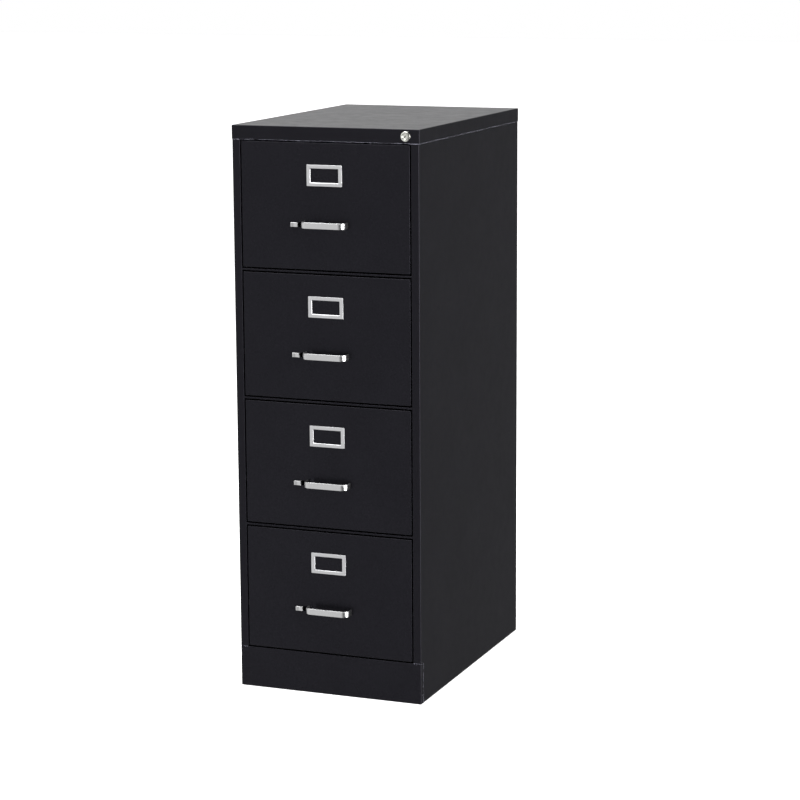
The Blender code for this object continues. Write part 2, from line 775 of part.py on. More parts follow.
def build_lock(case):
    """The barrel is fixed; the plug turns about its middle, and its cam's pin shifts the lock bar."""
    add_part("lock_housing", lock_housing_mesh(), "bright_nickel", case, (LOCK_X, 0, LOCK_Z))

    axis = add_empty("lock_turn_axis", (LOCK_X, FRONT_Y, LOCK_Z))
    plug_mesh = shifted(cylinder(LOCK_PLUG_RADIUS, PLUG_LENGTH, LOCK_SEGMENTS), y=-LOCK_BEZEL_PROUD)
    plug = add_part("lock_plug", plug_mesh, "bright_nickel", axis)
    keyway = box(
        (-KEYWAY_WIDTH / 2, -2 * LOCK_BEZEL_PROUD, -KEYWAY_HEIGHT / 2),
        (KEYWAY_WIDTH / 2, KEYWAY_DEPTH - LOCK_BEZEL_PROUD, KEYWAY_HEIGHT / 2),
    )
    cut(plug, "keyway", moved(keyway, Matrix.Rotation(KEYWAY_TILT, 4, "Y")))

    pin_x, pin_z = pin_offset(CAM_START)
    arm = plate((capsule((0, 0), (pin_x, pin_z), CAM_HALF_WIDTH),), CAM_THICKNESS)
    arm = shifted(arm, y=CAM_FRONT + CAM_THICKNESS / 2)
    pin_start = CAM_FRONT + CAM_THICKNESS / 2
    pin_end = LOCK_BAR_FRONT + SLIDE_SHEET + EMBED
    pin = cylinder(CAM_PIN_RADIUS, pin_end - pin_start, CAM_PIN_SEGMENTS)
    cam_mesh = joined((arm, shifted(pin, x=pin_x, y=pin_start, z=pin_z)))
    add_part("lock_cam", cam_mesh, "galvanised_steel", axis)

    build_lock_bar()


def build_lock_bar():
    """A notched angle behind the right stile, and the bracket in whose upright slot the cam's pin runs.

    As the cam turns, the bar shifts towards the drawers and stands in front of their lugs. Its
    notches clear the slides of a drawer that is open.
    """
    pin_x, pin_z = pin_offset(CAM_START)
    slot_half = CAM_PIN_RADIUS + LATCH_RUN
    bracket_half = slot_half + LOCK_BAR_BRACKET_WALL
    foot = LOCK_Z - CAM_THROW - bracket_half
    top = LOCK_Z + pin_z + bracket_half
    bar_axis = add_empty("lock_bar_slide_axis", (LOCK_BAR_X, FRONT_Y + LOCK_BAR_FRONT, 0))
    bar_foot = drawer_foot(DRAWER_COUNT) + LUG_RISE - LOCK_BAR_TAIL
    corners = ((LOCK_BAR_REACH, 0), (LOCK_BAR_REACH, LOCK_BAR_WIDTH), (0, LOCK_BAR_WIDTH))
    strip = bent_sheet(filleted(corners, BEND_RADIUS), top - bar_foot, LOCK_BAR_THICKNESS)
    bar = add_part("lock_bar", shifted(strip, z=bar_foot), "galvanised_steel", bar_axis)
    notch_half = MID_MEMBER_HALF + LOCK_BAR_NOTCH_MARGIN
    notch = box(
        (-LOCK_BAR_THICKNESS, LOCK_BAR_THICKNESS, -notch_half),
        (LOCK_BAR_NOTCH, LOCK_BAR_WIDTH + LOCK_BAR_THICKNESS, notch_half),
    )
    for number in range(1, DRAWER_COUNT):
        cut(bar, f"lock_bar_notch_{number}", notch, (0, 0, drawer_foot(number) + SLIDE_RISE))

    slot_x = LOCK_X + pin_x - LOCK_BAR_X
    side = LOCK_BAR_REACH - LOCK_BAR_THICKNESS - SEAT
    corners = ((slot_x - bracket_half, 0), (side, 0), (side, LOCK_BAR_WIDTH - LOCK_BAR_THICKNESS - SEAT))
    angle = bent_sheet(filleted(corners, BEND_RADIUS), top - foot, SLIDE_SHEET)
    bracket = add_part("lock_bar_bracket", shifted(angle, z=foot), "galvanised_steel", bar_axis)
    slot = plate((capsule((0, LOCK_Z - CAM_THROW), (0, LOCK_Z + pin_z), slot_half),), 4 * SLIDE_SHEET)
    cut(bracket, "bracket_slot", slot, (slot_x, 0, 0))


def build_case(case):
    build_sides(case)
    build_skin(case)
    build_rails(case)
    build_posts(case)
    build_glides(case)


def build_cabinet():
    case = add_empty("case_origin", (0, FRONT_Y, 0))
    build_case(case)
    shapes = {
        "front": front_mesh(),
        "tray": tray_mesh(),
        "handle": handle_mesh(),
        "label_holder": label_holder_mesh(),
        "latch": latch_mesh(),
        "latch_hole": latch_hole(),
        "latch_bar_slot": latch_bar_slot(),
    }
    for number in range(1, DRAWER_COUNT + 1):
        height = drawer_foot(number) + SLIDE_RISE
        carriage = add_empty(f"drawer_{number}_mid_slide_axis", (0, FRONT_Y + SLIDE_FRONT, height))
        build_slides(number, case, carriage)
        build_drawer(number, shapes)
    build_lock(case)


clear_scene()
PARTS = collection("filing_cabinet")
CUTTERS = collection("filing_cabinet_cutters")
build_cabinet()
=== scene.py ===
"""Looks of the four-drawer filing cabinet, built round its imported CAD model.

Lengths are metres in the frame of the CAD model. Places come from the CAD nodes' own boxes.
Pieces of a drawer are made once, about the middle of the bottom edge of its face, and each
drawer then shows them at its own place.
"""

import math

import bmesh
import bpy
from mathutils import Matrix, Vector


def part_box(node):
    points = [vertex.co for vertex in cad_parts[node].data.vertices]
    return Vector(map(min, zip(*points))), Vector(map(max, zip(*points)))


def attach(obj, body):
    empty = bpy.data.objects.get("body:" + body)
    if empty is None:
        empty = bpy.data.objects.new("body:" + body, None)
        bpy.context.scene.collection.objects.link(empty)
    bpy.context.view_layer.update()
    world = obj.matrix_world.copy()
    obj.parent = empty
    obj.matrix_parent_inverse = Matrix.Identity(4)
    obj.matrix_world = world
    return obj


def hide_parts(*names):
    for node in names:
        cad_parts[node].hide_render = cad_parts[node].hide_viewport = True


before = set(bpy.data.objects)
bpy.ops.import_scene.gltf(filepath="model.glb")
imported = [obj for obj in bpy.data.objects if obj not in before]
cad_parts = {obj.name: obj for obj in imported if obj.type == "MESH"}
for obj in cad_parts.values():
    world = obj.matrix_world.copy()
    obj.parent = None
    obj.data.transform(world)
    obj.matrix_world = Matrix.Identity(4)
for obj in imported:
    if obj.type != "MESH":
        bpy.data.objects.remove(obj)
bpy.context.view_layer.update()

# Sheet metal and the softness of its edges
SHEET = 0.0010
FRONT_SHEET = 0.0012
SLIDE_SHEET = 0.0013
SLIDE_THICKNESS = 0.0127
BEND_RADIUS = 0.0019
BEND_STEPS = 8
EDGE = 0.00022
SEAT = 0.0003
OVERLAP = 0.0005

# Case
REAR_FLANGE = 0.0150
STILE_RETURN = 0.0250
KICK_RETURN = 0.0150
POST_FLANGE = 0.0120
RIVET_RADIUS = 0.0030
RIVET_PROUD = 0.0009
RIVET_INSET = 0.0075
RIVET_ROWS = 8
POST_SLOT_PITCH = 0.0500
POST_SLOT_HALF = 0.0022
POST_SLOT_HEIGHT = 0.0120
STRIKE_MARGIN = 0.0020

# Drawer
RIM_RADIUS = 0.0022
REAR_WALL_INSET = 0.0080
REAR_WALL_LIP = 0.0070
TRAY_LIFT = 0.0080
TRAY_HEADROOM = 0.0400
LUG_RISE = 0.1500
LUG_HEIGHT = 0.0100
LUG_DEPTH = 0.0080
LUG_ROUND = 0.0006
LUG_BAR_GAP = 0.0010
LUG_SIDE_GAP = 0.0027
RUNNER_RACE = 0.0038
RUNNER_GAP = 0.0004
SCREW_RADIUS = 0.0042
SCREW_HEIGHT = 0.0022

# Ball bearings of the slides
BALL_RADIUS = 0.0018
BALL_PITCH = 0.0110
CAGE_LENGTH = 0.2400
CAGE_MARGIN = 0.0120
CAGE_THICKNESS = 0.0006
CAGE_WIDTH = 0.0046
CAGE_EDGE = 0.0001
INNER_ROW_INSET = 0.0030

# Handle, label holder and thumb latch
HANDLE_CORNER = 0.0150
HANDLE_THICKNESS = 0.0030
HANDLE_CROWN = 0.0005
HANDLE_ROUND = 0.0009
LABEL_BORDER = Vector((0.0090, 0.0083))
LABEL_CORNER = 0.0015
LATCH_WIDTH = 0.0175
LATCH_TRAVEL = 0.0075
LATCH_RUN = 0.0005
LATCH_SCOOP = 0.0009
LATCH_ROUND = 0.0011
LATCH_BAR_DEPTH = 0.0080
LATCH_BAR_THICKNESS = 0.0020
LATCH_BAR_HEIGHT = 0.0100

# Lock
LOCK_SEGMENTS = 72
LOCK_HOLE_RADIUS = 0.0097
LOCK_HOLE_DEPTH = 0.0200
BARREL_RADIUS = 0.0094
KEYWAY_WIDTH = 0.0020
KEYWAY_HEIGHT = 0.0084
KEYWAY_TILT = math.radians(45)
KEYWAY_CUT = Vector((0.0100, 0.0060))

# Camera, turned from looking along +Y
CAMERA_PLACE = (2.2609, -5.5854, 1.7834)
CAMERA_YAW = math.radians(21.5805)
CAMERA_PITCH = math.radians(10.7265)
CAMERA_ROLL = math.radians(-0.3326)
CAMERA_LENS = 114.918
SENSOR = 36.0

# Studio
WHITE = 1.0
FLOOR_SIZE = 60.0
FLOOR_GLOW = 0.65
ROOM_STRENGTH = 8.0
ROOM = ((0.0, 0.115), (0.275, 0.115), (0.725, 0.010), (0.90, 0.012), (0.955, 1.0))


# Places, from the boxes of the CAD nodes

SIDE_LOW, SIDE_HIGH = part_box("case_side_right")
CAP_LOW, CAP_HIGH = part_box("top_cap")
BACK_LOW, BACK_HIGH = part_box("back_panel")
KICK_LOW, KICK_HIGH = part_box("kick_panel")
RAIL_LOW, RAIL_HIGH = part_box("cross_rail_1")
FACE_LOW, FACE_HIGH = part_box("drawer_1_front")
TRAY_LOW, TRAY_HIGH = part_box("drawer_1_tray")
LATCH_LOW, LATCH_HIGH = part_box("drawer_1_latch")
PLUG_LOW, PLUG_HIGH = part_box("lock_plug")
FRONT_Y = FACE_LOW.y
CASE_HALF = SIDE_HIGH.x
OPENING_HALF = RAIL_HIGH.x + SEAT
STILE_TOP = CAP_LOW.z - SEAT
FACE_HALF = FACE_HIGH.x
FACE_HEIGHT = FACE_HIGH.z - FACE_LOW.z
FACE_DEPTH = FACE_HIGH.y - FACE_LOW.y
DRAWERS = range(1, 5)
LOCK_PLACE = Vector(((PLUG_LOW.x + PLUG_HIGH.x) / 2, FRONT_Y, (PLUG_LOW.z + PLUG_HIGH.z) / 2))


def drawer_place(number):
    """The middle of the bottom edge of a drawer's face."""
    low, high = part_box(f"drawer_{number}_front")
    return Vector((0, low.y, low.z))


DRAWER_ORIGIN = drawer_place(1)


def in_drawer(node):
    """A node's box, measured from the bottom edge of the first drawer's face."""
    low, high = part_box(node)
    return low - DRAWER_ORIGIN, high - DRAWER_ORIGIN


# Mesh builders


def mesh_of(bm):
    bmesh.ops.recalc_face_normals(bm, faces=bm.faces)
    mesh = bpy.data.meshes.new("shape")
    bm.to_mesh(mesh)
    bm.free()
    return mesh


def evaluated(mesh, *adders):
    """The mesh that some modifiers make of a mesh."""
    helper = bpy.data.objects.new("helper", mesh)
    bpy.context.scene.collection.objects.link(helper)
    for add in adders:
        add(helper)
    graph = bpy.context.evaluated_depsgraph_get()
    result = bpy.data.meshes.new_from_object(helper.evaluated_get(graph))
    bpy.data.objects.remove(helper)
    return result


def moved(mesh, matrix):
    copy = mesh.copy()
    copy.transform(matrix)
    if matrix.determinant() < 0:
        copy.flip_normals()
    return copy


def shifted(mesh, x=0.0, y=0.0, z=0.0):
    return moved(mesh, Matrix.Translation((x, y, z)))


def mirrored(mesh):
    return moved(mesh, Matrix.Scale(-1, 4, Vector((1, 0, 0))))


def soften(bm, width=EDGE, segments=2, sharper_than=50):
    """Rounds every edge that is sharper than an angle in degrees."""
    bm.normal_update()
    limit = math.radians(sharper_than)
    sharp = [edge for edge in bm.edges if len(edge.link_faces) == 2 and edge.calc_face_angle() > limit]
    bmesh.ops.bevel(
        bm, geom=sharp, offset=width, segments=segments, profile=0.5, affect="EDGES", clamp_overlap=True
    )


def without(mesh, *tools):
    """The mesh with others cut out of it."""
    cutters = []
    for tool in tools:
        cutter = bpy.data.objects.new("cutter", tool)
        bpy.context.scene.collection.objects.link(cutter)
        cutters.append(cutter)

    def cut(helper):
        for cutter in cutters:
            boolean = helper.modifiers.new("cut", "BOOLEAN")
            boolean.operation = "DIFFERENCE"
            boolean.object = cutter

    result = evaluated(mesh, cut)
    for cutter in cutters:
        bpy.data.objects.remove(cutter)
    return result


def gathered(*meshes):
    """One mesh that holds several separate shells."""
    bm = bmesh.new()
    for mesh in meshes:
        bm.from_mesh(mesh)
    joined = bpy.data.meshes.new("shape")
    bm.to_mesh(joined)
    bm.free()
    return joined


def filleted(corners, radius, steps=BEND_STEPS):
    """The open path through the corners, with an arc in place of each inner corner."""
    path = [Vector(corners[0])]
    for before, at, after in zip(corners, corners[1:], corners[2:]):
        corner = Vector(at)
        back = (Vector(before) - corner).normalized()
        ahead = (Vector(after) - corner).normalized()
        half_angle = back.angle(ahead) / 2
        centre = corner + (back + ahead).normalized() * radius / math.sin(half_angle)
        start = corner + back * radius / math.tan(half_angle) - centre
        end = corner + ahead * radius / math.tan(half_angle) - centre
        first = math.atan2(start.y, start.x)
        turn = (math.atan2(end.y, end.x) - first + math.pi) % math.tau - math.pi
        for step in range(steps + 1):
            angle = first + turn * step / steps
            path.append(centre + radius * Vector((math.cos(angle), math.sin(angle))))
    path.append(Vector(corners[-1]))
    return path


def offset_path(path, distance):
    """The path moved to its left by a distance."""
    moved_points = []
    for i, point in enumerate(path):
        before = path[max(i - 1, 0)]
        after = path[min(i + 1, len(path) - 1)]
        sides = []
        if i > 0:
            along = (point - before).normalized()
            sides.append(Vector((-along.y, along.x)))
        if i < len(path) - 1:
            along = (after - point).normalized()
            sides.append(Vector((-along.y, along.x)))
        side = sum(sides, Vector((0, 0))).normalized()
        moved_points.append(point + side * distance / side.dot(sides[0]))
    return moved_points


TURNS = {
    "Z": Matrix.Identity(4),
    "Y": Matrix(((1, 0, 0, 0), (0, 0, 1, 0), (0, 1, 0, 0), (0, 0, 0, 1))),
    "X": Matrix(((0, 0, 1, 0), (1, 0, 0, 0), (0, 1, 0, 0), (0, 0, 0, 1))),
}


def folded(path, thickness, start, end, along="Z"):
    """A folded sheet with softened edges: its section follows the path, its thickness left of it.

    The path is in (x, y) for a sheet along Z, (x, z) along Y and (y, z) along X.
    """
    bm = bmesh.new()
    lines = []
    for height in (start, end):
        for line in (path, offset_path(path, thickness)):
            lines.append([bm.verts.new((point.x, point.y, height)) for point in line])
    outer_low, inner_low, outer_high, inner_high = lines
    strips = (
        (outer_low, outer_high),
        (inner_high, inner_low),
        (outer_high, inner_high),
        (inner_low, outer_low),
    )
    for first, second in strips:
        for i in range(len(path) - 1):
            bm.faces.new((first[i], first[i + 1], second[i + 1], second[i]))
    for i in (0, -1):
        bm.faces.new((outer_low[i], outer_high[i], inner_high[i], inner_low[i]))
    soften(bm)
    return moved(mesh_of(bm), TURNS[along])


def block(low, high, round_off=EDGE, segments=2):
    """A solid block with softened edges."""
    low = Vector(low)
    high = Vector(high)
    bm = bmesh.new()
    bmesh.ops.create_cube(bm, size=1)
    bmesh.ops.scale(bm, vec=high - low, verts=bm.verts)
    bmesh.ops.translate(bm, vec=(low + high) / 2, verts=bm.verts)
    if round_off:
        soften(bm, round_off, segments)
    return mesh_of(bm)


def pan(low, high, open_sides, thickness, radius=BEND_RADIUS):
    """A folded pan: a box shell with some sides left out, rounded where it is folded."""
    bm = bmesh.new()
    bm.from_mesh(block(low, high, 0))
    bm.normal_update()
    gone = [f for f in bm.faces if any(f.normal.dot(Vector(side)) > 0.9 for side in open_sides)]
    bmesh.ops.delete(bm, geom=gone, context="FACES_ONLY")
    loose = [edge for edge in bm.edges if not edge.link_faces]
    bmesh.ops.delete(bm, geom=loose, context="EDGES")
    folds = [edge for edge in bm.edges if len(edge.link_faces) == 2]
    bmesh.ops.bevel(bm, geom=folds, offset=radius, segments=BEND_STEPS, profile=0.5, affect="EDGES")
    shell = bpy.data.meshes.new("shell")
    bm.to_mesh(shell)
    bm.free()

    def thicken(helper):
        solidify = helper.modifiers.new("thickness", "SOLIDIFY")
        solidify.thickness = thickness
        solidify.offset = -1
        solidify.use_even_offset = True

    bm = bmesh.new()
    bm.from_mesh(evaluated(shell, thicken))
    soften(bm)
    return mesh_of(bm)


def turned(profile, segments):
    """A closed shape turned about Z from a profile of (radius, height); a radius of 0 closes its end."""
    bm = bmesh.new()
    rings = []
    for radius, height in profile:
        if radius == 0:
            rings.append([bm.verts.new((0, 0, height))] * segments)
            continue
        angles = [math.tau * step / segments for step in range(segments)]
        rings.append([bm.verts.new((radius * math.cos(a), radius * math.sin(a), height)) for a in angles])
    closed = profile[0][0] != 0
    pairs = list(zip(rings, rings[1:])) + ([(rings[-1], rings[0])] if closed else [])
    for first, second in pairs:
        for i in range(segments):
            j = (i + 1) % segments
            corners = []
            for vert in (first[i], first[j], second[j], second[i]):
                if vert not in corners:
                    corners.append(vert)
            if len(corners) > 2:
                bm.faces.new(corners)
    return mesh_of(bm)


def facing_front(mesh):
    """A shape turned about Z, laid down so that its top faces the front."""
    return moved(mesh, Matrix.Rotation(math.pi / 2, 4, "X"))


def rounded_rectangle(width, height, radius, steps=4):
    """The corners of a rectangle about the origin in (x, z), each one an arc."""
    outline = []
    for quarter, (side, end) in enumerate(((1, 1), (-1, 1), (-1, -1), (1, -1))):
        centre = Vector((side * (width / 2 - radius), end * (height / 2 - radius)))
        for step in range(steps + 1):
            angle = (quarter + step / steps) * math.pi / 2
            outline.append(centre + radius * Vector((math.cos(angle), math.sin(angle))))
    return outline


def ring_solid(loops):
    """A closed frame through loops of points, each joined to the next and the last to the first."""
    bm = bmesh.new()
    rings = [[bm.verts.new(point) for point in loop] for loop in loops]
    for first, second in zip(rings, rings[1:] + rings[:1]):
        for i in range(len(first)):
            j = (i + 1) % len(first)
            bm.faces.new((first[i], first[j], second[j], second[i]))
    return mesh_of(bm)


# Materials


class Nodes:
    """A material's node tree, with short calls for the nodes that the finishes share."""

    def __init__(self, name):
        self.material = bpy.data.materials.new(name)
        self.material.use_nodes = True
        self.tree = self.material.node_tree
        self.shader = self.tree.nodes["Principled BSDF"]

    def add(self, kind, **inputs):
        node = self.tree.nodes.new(kind)
        for name, value in inputs.items():
            self.feed(node.inputs[name.replace("_", " ")], value)
        return node

    def feed(self, socket, value):
        if isinstance(value, bpy.types.NodeSocket):
            self.tree.links.new(value, socket)
        else:
            socket.default_value = value

    def place(self, stretch=(1, 1, 1)):
        """The point on the piece, moved by an amount of its own so that no two pieces match."""
        point = self.add("ShaderNodeTexCoord").outputs["Object"]
        own = self.add("ShaderNodeObjectInfo").outputs["Random"]
        offset = self.add("ShaderNodeVectorMath", Vector=point)
        offset.operation = "ADD"
        self.feed(offset.inputs[1], own)
        mapping = self.add("ShaderNodeMapping", Vector=offset.outputs[0])
        mapping.inputs["Scale"].default_value = stretch
        return mapping.outputs[0]

    def noise(self, place, scale, detail=3.0, roughness=0.55):
        node = self.add("ShaderNodeTexNoise", Vector=place, Scale=scale, Detail=detail, Roughness=roughness)
        return node.outputs["Fac"]

    def ramp(self, value, low, high, start=0.35, end=0.65):
        """The value between two limits, spread between two numbers."""
        node = self.add("ShaderNodeMapRange", Value=value)
        node.inputs["From Min"].default_value = start
        node.inputs["From Max"].default_value = end
        node.inputs["To Min"].default_value = low
        node.inputs["To Max"].default_value = high
        return node.outputs[0]

    def blend(self, amount, first, second):
        node = self.add("ShaderNodeMix")
        node.data_type = "RGBA"
        self.feed(node.inputs["Factor"], amount)
        self.feed(node.inputs[6], first)
        self.feed(node.inputs[7], second)
        return node.outputs[2]

    def times(self, first, second):
        node = self.add("ShaderNodeMath")
        node.operation = "MULTIPLY"
        self.feed(node.inputs[0], first)
        self.feed(node.inputs[1], second)
        return node.outputs[0]

    def edges(self, radius, place):
        """Where the surface turns within a small distance, broken up as wear is; the mask for edge wear, and
        on the folds' paint for a painted highlight.
        """
        rounded = self.add("ShaderNodeBevel", Radius=radius)
        rounded.samples = 4
        plain = self.add("ShaderNodeNewGeometry").outputs["Normal"]
        agree = self.add("ShaderNodeVectorMath")
        agree.operation = "DOT_PRODUCT"
        self.feed(agree.inputs[0], rounded.outputs[0])
        self.feed(agree.inputs[1], plain)
        turn = self.ramp(agree.outputs["Value"], 1.0, 0.0, 0.80, 0.985)
        return self.times(turn, self.ramp(self.noise(place, 90.0, 4.0), 0.0, 1.0))

    def bumps(self, *layers):
        """Stacks (height, strength, distance) layers into the shader's normal."""
        normal = None
        for height, strength, distance in layers:
            node = self.add("ShaderNodeBump", Height=height, Strength=strength, Distance=distance)
            if normal:
                self.feed(node.inputs["Normal"], normal)
            normal = node.outputs[0]
        self.feed(self.shader.inputs["Normal"], normal)

    def set(self, **inputs):
        for name, value in inputs.items():
            self.feed(self.shader.inputs[name.replace("_", " ")], value)


def grey(level, tint=(1.0, 1.0, 1.0)):
    return (level * tint[0], level * tint[1], level * tint[2], 1.0)


def powder_coat(name, level, gloss, edge_wear_and_highlight_level=0.085, edge_wear_and_highlight_amount=0.55):
    """Satin black powder coat: fine grain, orange peel, faint clouds, and lighter edges: wear where the coat
    thins at a low edge level, and a painted highlight along the bends at a high one.
    """
    nodes = Nodes(name)
    place = nodes.place()
    grain = nodes.noise(place, 1500.0, 2.0)
    peel = nodes.noise(place, 240.0, 2.0)
    sway = nodes.noise(place, 3.2, 1.0)
    clouds = nodes.noise(place, 9.0, 5.0)
    edge_mask = nodes.edges(0.0011, place)
    cool = (0.95, 0.94, 1.16)
    colour = nodes.blend(nodes.ramp(clouds, 0.0, 1.0), grey(level * 0.93, cool), grey(level * 1.08, cool))
    colour = nodes.blend(nodes.ramp(grain, 0.0, 0.35, 0.5, 0.8), colour, grey(level * 2.2, cool))
    # Lighter colour on the edges: edge wear at a low level, a painted highlight along the bends at a high
    # level.
    colour = nodes.blend(nodes.times(edge_mask, edge_wear_and_highlight_amount), colour, grey(edge_wear_and_highlight_level, cool))
    roughness = nodes.ramp(nodes.noise(place, 34.0, 6.0, 0.65), gloss - 0.02, gloss + 0.03)
    nodes.bumps((sway, 0.06, 0.0012), (peel, 0.20, 0.00009), (grain, 0.30, 0.00005))
    nodes.set(Base_Color=colour, Roughness=roughness, Specular_IOR_Level=0.13)
    nodes.set(Specular_Tint=grey(1.0, (0.84, 0.80, 1.0)))
    return nodes.material


def brushed_metal(name, tint, level, gloss, stretch):
    """Plated metal brushed one way, with a soft haze and brighter rubbed edges."""
    nodes = Nodes(name)
    place = nodes.place()
    lines = nodes.noise(nodes.place(stretch), 1.0, 4.0, 0.6)
    haze = nodes.noise(place, 60.0, 4.0)
    rubbed = nodes.edges(0.0008, place)
    colour = nodes.blend(nodes.ramp(lines, 0.0, 1.0), grey(level * 0.93, tint), grey(level * 1.03, tint))
    colour = nodes.blend(nodes.times(nodes.ramp(haze, 0.0, 1.0), 0.25), colour, grey(level * 0.88, tint))
    colour = nodes.blend(nodes.times(rubbed, 0.5), colour, grey(min(level * 1.12, 0.95), tint))
    roughness = nodes.ramp(lines, gloss - 0.05, gloss + 0.08)
    nodes.bumps((lines, 0.12, 0.00004), (haze, 0.06, 0.0002))
    nodes.set(Base_Color=colour, Roughness=roughness, Metallic=1.0)
    return nodes.material


def zinc_plate(name):
    """Dull zinc-plated steel with faint crystals, rolling marks and pale scuffs."""
    nodes = Nodes(name)
    place = nodes.place()
    crystals = nodes.add("ShaderNodeTexVoronoi", Vector=place, Scale=160.0)
    rolled = nodes.noise(nodes.place((700.0, 3.0, 700.0)), 1.0, 3.0)
    stain = nodes.noise(place, 14.0, 5.0)
    edge_mask = nodes.edges(0.0009, place)
    cool = grey(0.44, (0.98, 1.0, 1.05))
    warm = grey(0.53, (1.02, 1.0, 0.95))
    colour = nodes.blend(crystals.outputs["Color"], cool, warm)
    colour = nodes.blend(nodes.ramp(stain, 0.0, 0.5), colour, grey(0.36))
    colour = nodes.blend(edge_mask, colour, grey(0.66))
    nodes.bumps((rolled, 0.10, 0.00005), (stain, 0.08, 0.0004))
    nodes.set(Base_Color=colour, Roughness=nodes.ramp(stain, 0.30, 0.46), Metallic=1.0)
    return nodes.material


def turned_nickel(name):
    """Bright nickel with fine turning rings about the lock's axis."""
    nodes = Nodes(name)
    point = nodes.add("ShaderNodeTexCoord").outputs["Object"]
    flat = nodes.add("ShaderNodeVectorMath", Vector=point)
    flat.operation = "MULTIPLY"
    flat.inputs[1].default_value = (1, 0, 1)
    radius = nodes.add("ShaderNodeVectorMath")
    radius.operation = "LENGTH"
    nodes.feed(radius.inputs[0], flat.outputs[0])
    rings = nodes.noise(radius.outputs["Value"], 3200.0, 2.0)
    haze = nodes.noise(point, 420.0, 4.0)
    warm = (1.0, 1.0, 0.93)
    colour = nodes.blend(nodes.ramp(haze, 0.0, 1.0), grey(0.62, warm), grey(0.72, warm))
    nodes.bumps((rings, 0.10, 0.00003), (haze, 0.05, 0.00008))
    nodes.set(Base_Color=colour, Roughness=nodes.ramp(rings, 0.14, 0.24), Metallic=1.0)
    return nodes.material


def moulded_nylon(name):
    nodes = Nodes(name)
    place = nodes.place()
    fine = nodes.noise(place, 900.0, 2.0)
    scuffs = nodes.noise(nodes.place((60.0, 60.0, 600.0)), 1.0, 4.0)
    colour = nodes.blend(nodes.ramp(scuffs, 0.0, 1.0), grey(0.014), grey(0.034))
    nodes.bumps((fine, 0.25, 0.00006), (scuffs, 0.15, 0.0001))
    nodes.set(Base_Color=colour, Roughness=nodes.ramp(fine, 0.46, 0.62))
    return nodes.material


PAINT = powder_coat("powder_coat_black", 0.0048, 0.27)
# Paint for the sides and the cap, whose edges are painted pale grey: a painted highlight along the bends in
# place of their reflections.
PAINT_WITH_PAINTED_BEND_HIGHLIGHTS = powder_coat("powder_coat_over_folds", 0.0044, 0.32, 0.80, 1.0)
INNER_PAINT = powder_coat("powder_coat_inside", 0.0070, 0.40)
CHROME = brushed_metal("satin_chrome", (1.0, 1.0, 1.01), 0.62, 0.30, (9.0, 9.0, 1600.0))
LABEL_METAL = brushed_metal("label_holder_satin", (1.0, 1.0, 1.02), 0.68, 0.42, (14.0, 14.0, 1300.0))
NICKEL = turned_nickel("turned_nickel")
ZINC = zinc_plate("zinc_plate")
BEARING = brushed_metal("bearing_steel", (1.0, 1.0, 1.0), 0.60, 0.14, (500.0, 500.0, 500.0))
NYLON = moulded_nylon("moulded_nylon")


# Pieces


def show(name, mesh, material, body, nodes=(), place=(0, 0, 0)):
    """Adds a piece that rides on a body and stands for some CAD nodes."""
    piece = bpy.data.objects.new(name, mesh)
    piece.location = place
    bpy.context.scene.collection.objects.link(piece)
    if not mesh.materials:
        mesh.materials.append(material)
        mesh.shade_smooth()
        mesh.set_sharp_from_angle(angle=math.radians(40))
    even = piece.modifiers.new("even_shading", "WEIGHTED_NORMAL")
    even.keep_sharp = True
    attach(piece, body)
    if nodes:
        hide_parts(*nodes)
    return piece


def refinish(node, material):
    """Keeps a CAD node as it is and gives it a finish."""
    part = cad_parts[node]
    part.data.materials.clear()
    part.data.materials.append(material)


# Case


def build_sides():
    """Each side panel, with its front stile and rear flange folded from the same sheet."""
    corners = (
        (-CASE_HALF + REAR_FLANGE, SIDE_HIGH.y),
        (-CASE_HALF, SIDE_HIGH.y),
        (-CASE_HALF, FRONT_Y),
        (-OPENING_HALF, FRONT_Y),
        (-OPENING_HALF, FRONT_Y + STILE_RETURN),
    )
    sheet = folded(filleted(corners, BEND_RADIUS), SHEET, SIDE_LOW.z, SIDE_HIGH.z)
    reach = 2 * SHEET
    left = -CASE_HALF - reach
    right = -OPENING_HALF + reach
    behind = FRONT_Y + STILE_RETURN + reach
    covers = (
        block((left, FRONT_Y - reach, STILE_TOP), (right, FRONT_Y + BEND_RADIUS + SEAT, CAP_HIGH.z), 0),
        block((right - 2 * reach, FRONT_Y, STILE_TOP), (right, behind, CAP_HIGH.z), 0),
        block((left, FRONT_Y - reach, 0), (right, FRONT_Y + KICK_RETURN + SEAT, KICK_HIGH.z + SEAT), 0),
        block((right - 2 * reach, FRONT_Y, 0), (right, behind, KICK_HIGH.z + SEAT), 0),
    )
    plain = without(sheet, *covers)
    strikes = [strike_slot(number) for number in DRAWERS]
    show("side_panel_left", without(plain, *strikes), PAINT_WITH_PAINTED_BEND_HIGHLIGHTS, "case", ["case_side_left"])
    show("side_panel_right", mirrored(plain), PAINT_WITH_PAINTED_BEND_HIGHLIGHTS, "case", ["case_side_right"])


def strike_slot(number):
    """The slot in the left stile's return that a drawer's latch bar catches in."""
    low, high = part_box(f"drawer_{number}_latch")
    margin = STRIKE_MARGIN
    middle = (low.z + high.z) / 2
    half = LATCH_BAR_HEIGHT / 2 + margin
    depth = FRONT_Y + LATCH_BAR_DEPTH
    return block(
        (-OPENING_HALF - 2 * SHEET, depth - margin, middle - half),
        (-OPENING_HALF + SHEET, depth + LATCH_BAR_THICKNESS + margin, middle + half),
        0,
    )


def rivet():
    """A domed rivet head whose axis is Z."""
    profile = [(0, RIVET_PROUD)]
    for step in range(1, 7):
        angle = step / 6 * math.pi / 2
        profile.append((RIVET_RADIUS * math.sin(angle), RIVET_PROUD * math.cos(angle)))
    profile.append((RIVET_RADIUS, -OVERLAP))
    profile.append((0, -OVERLAP))
    return turned(profile, 24)


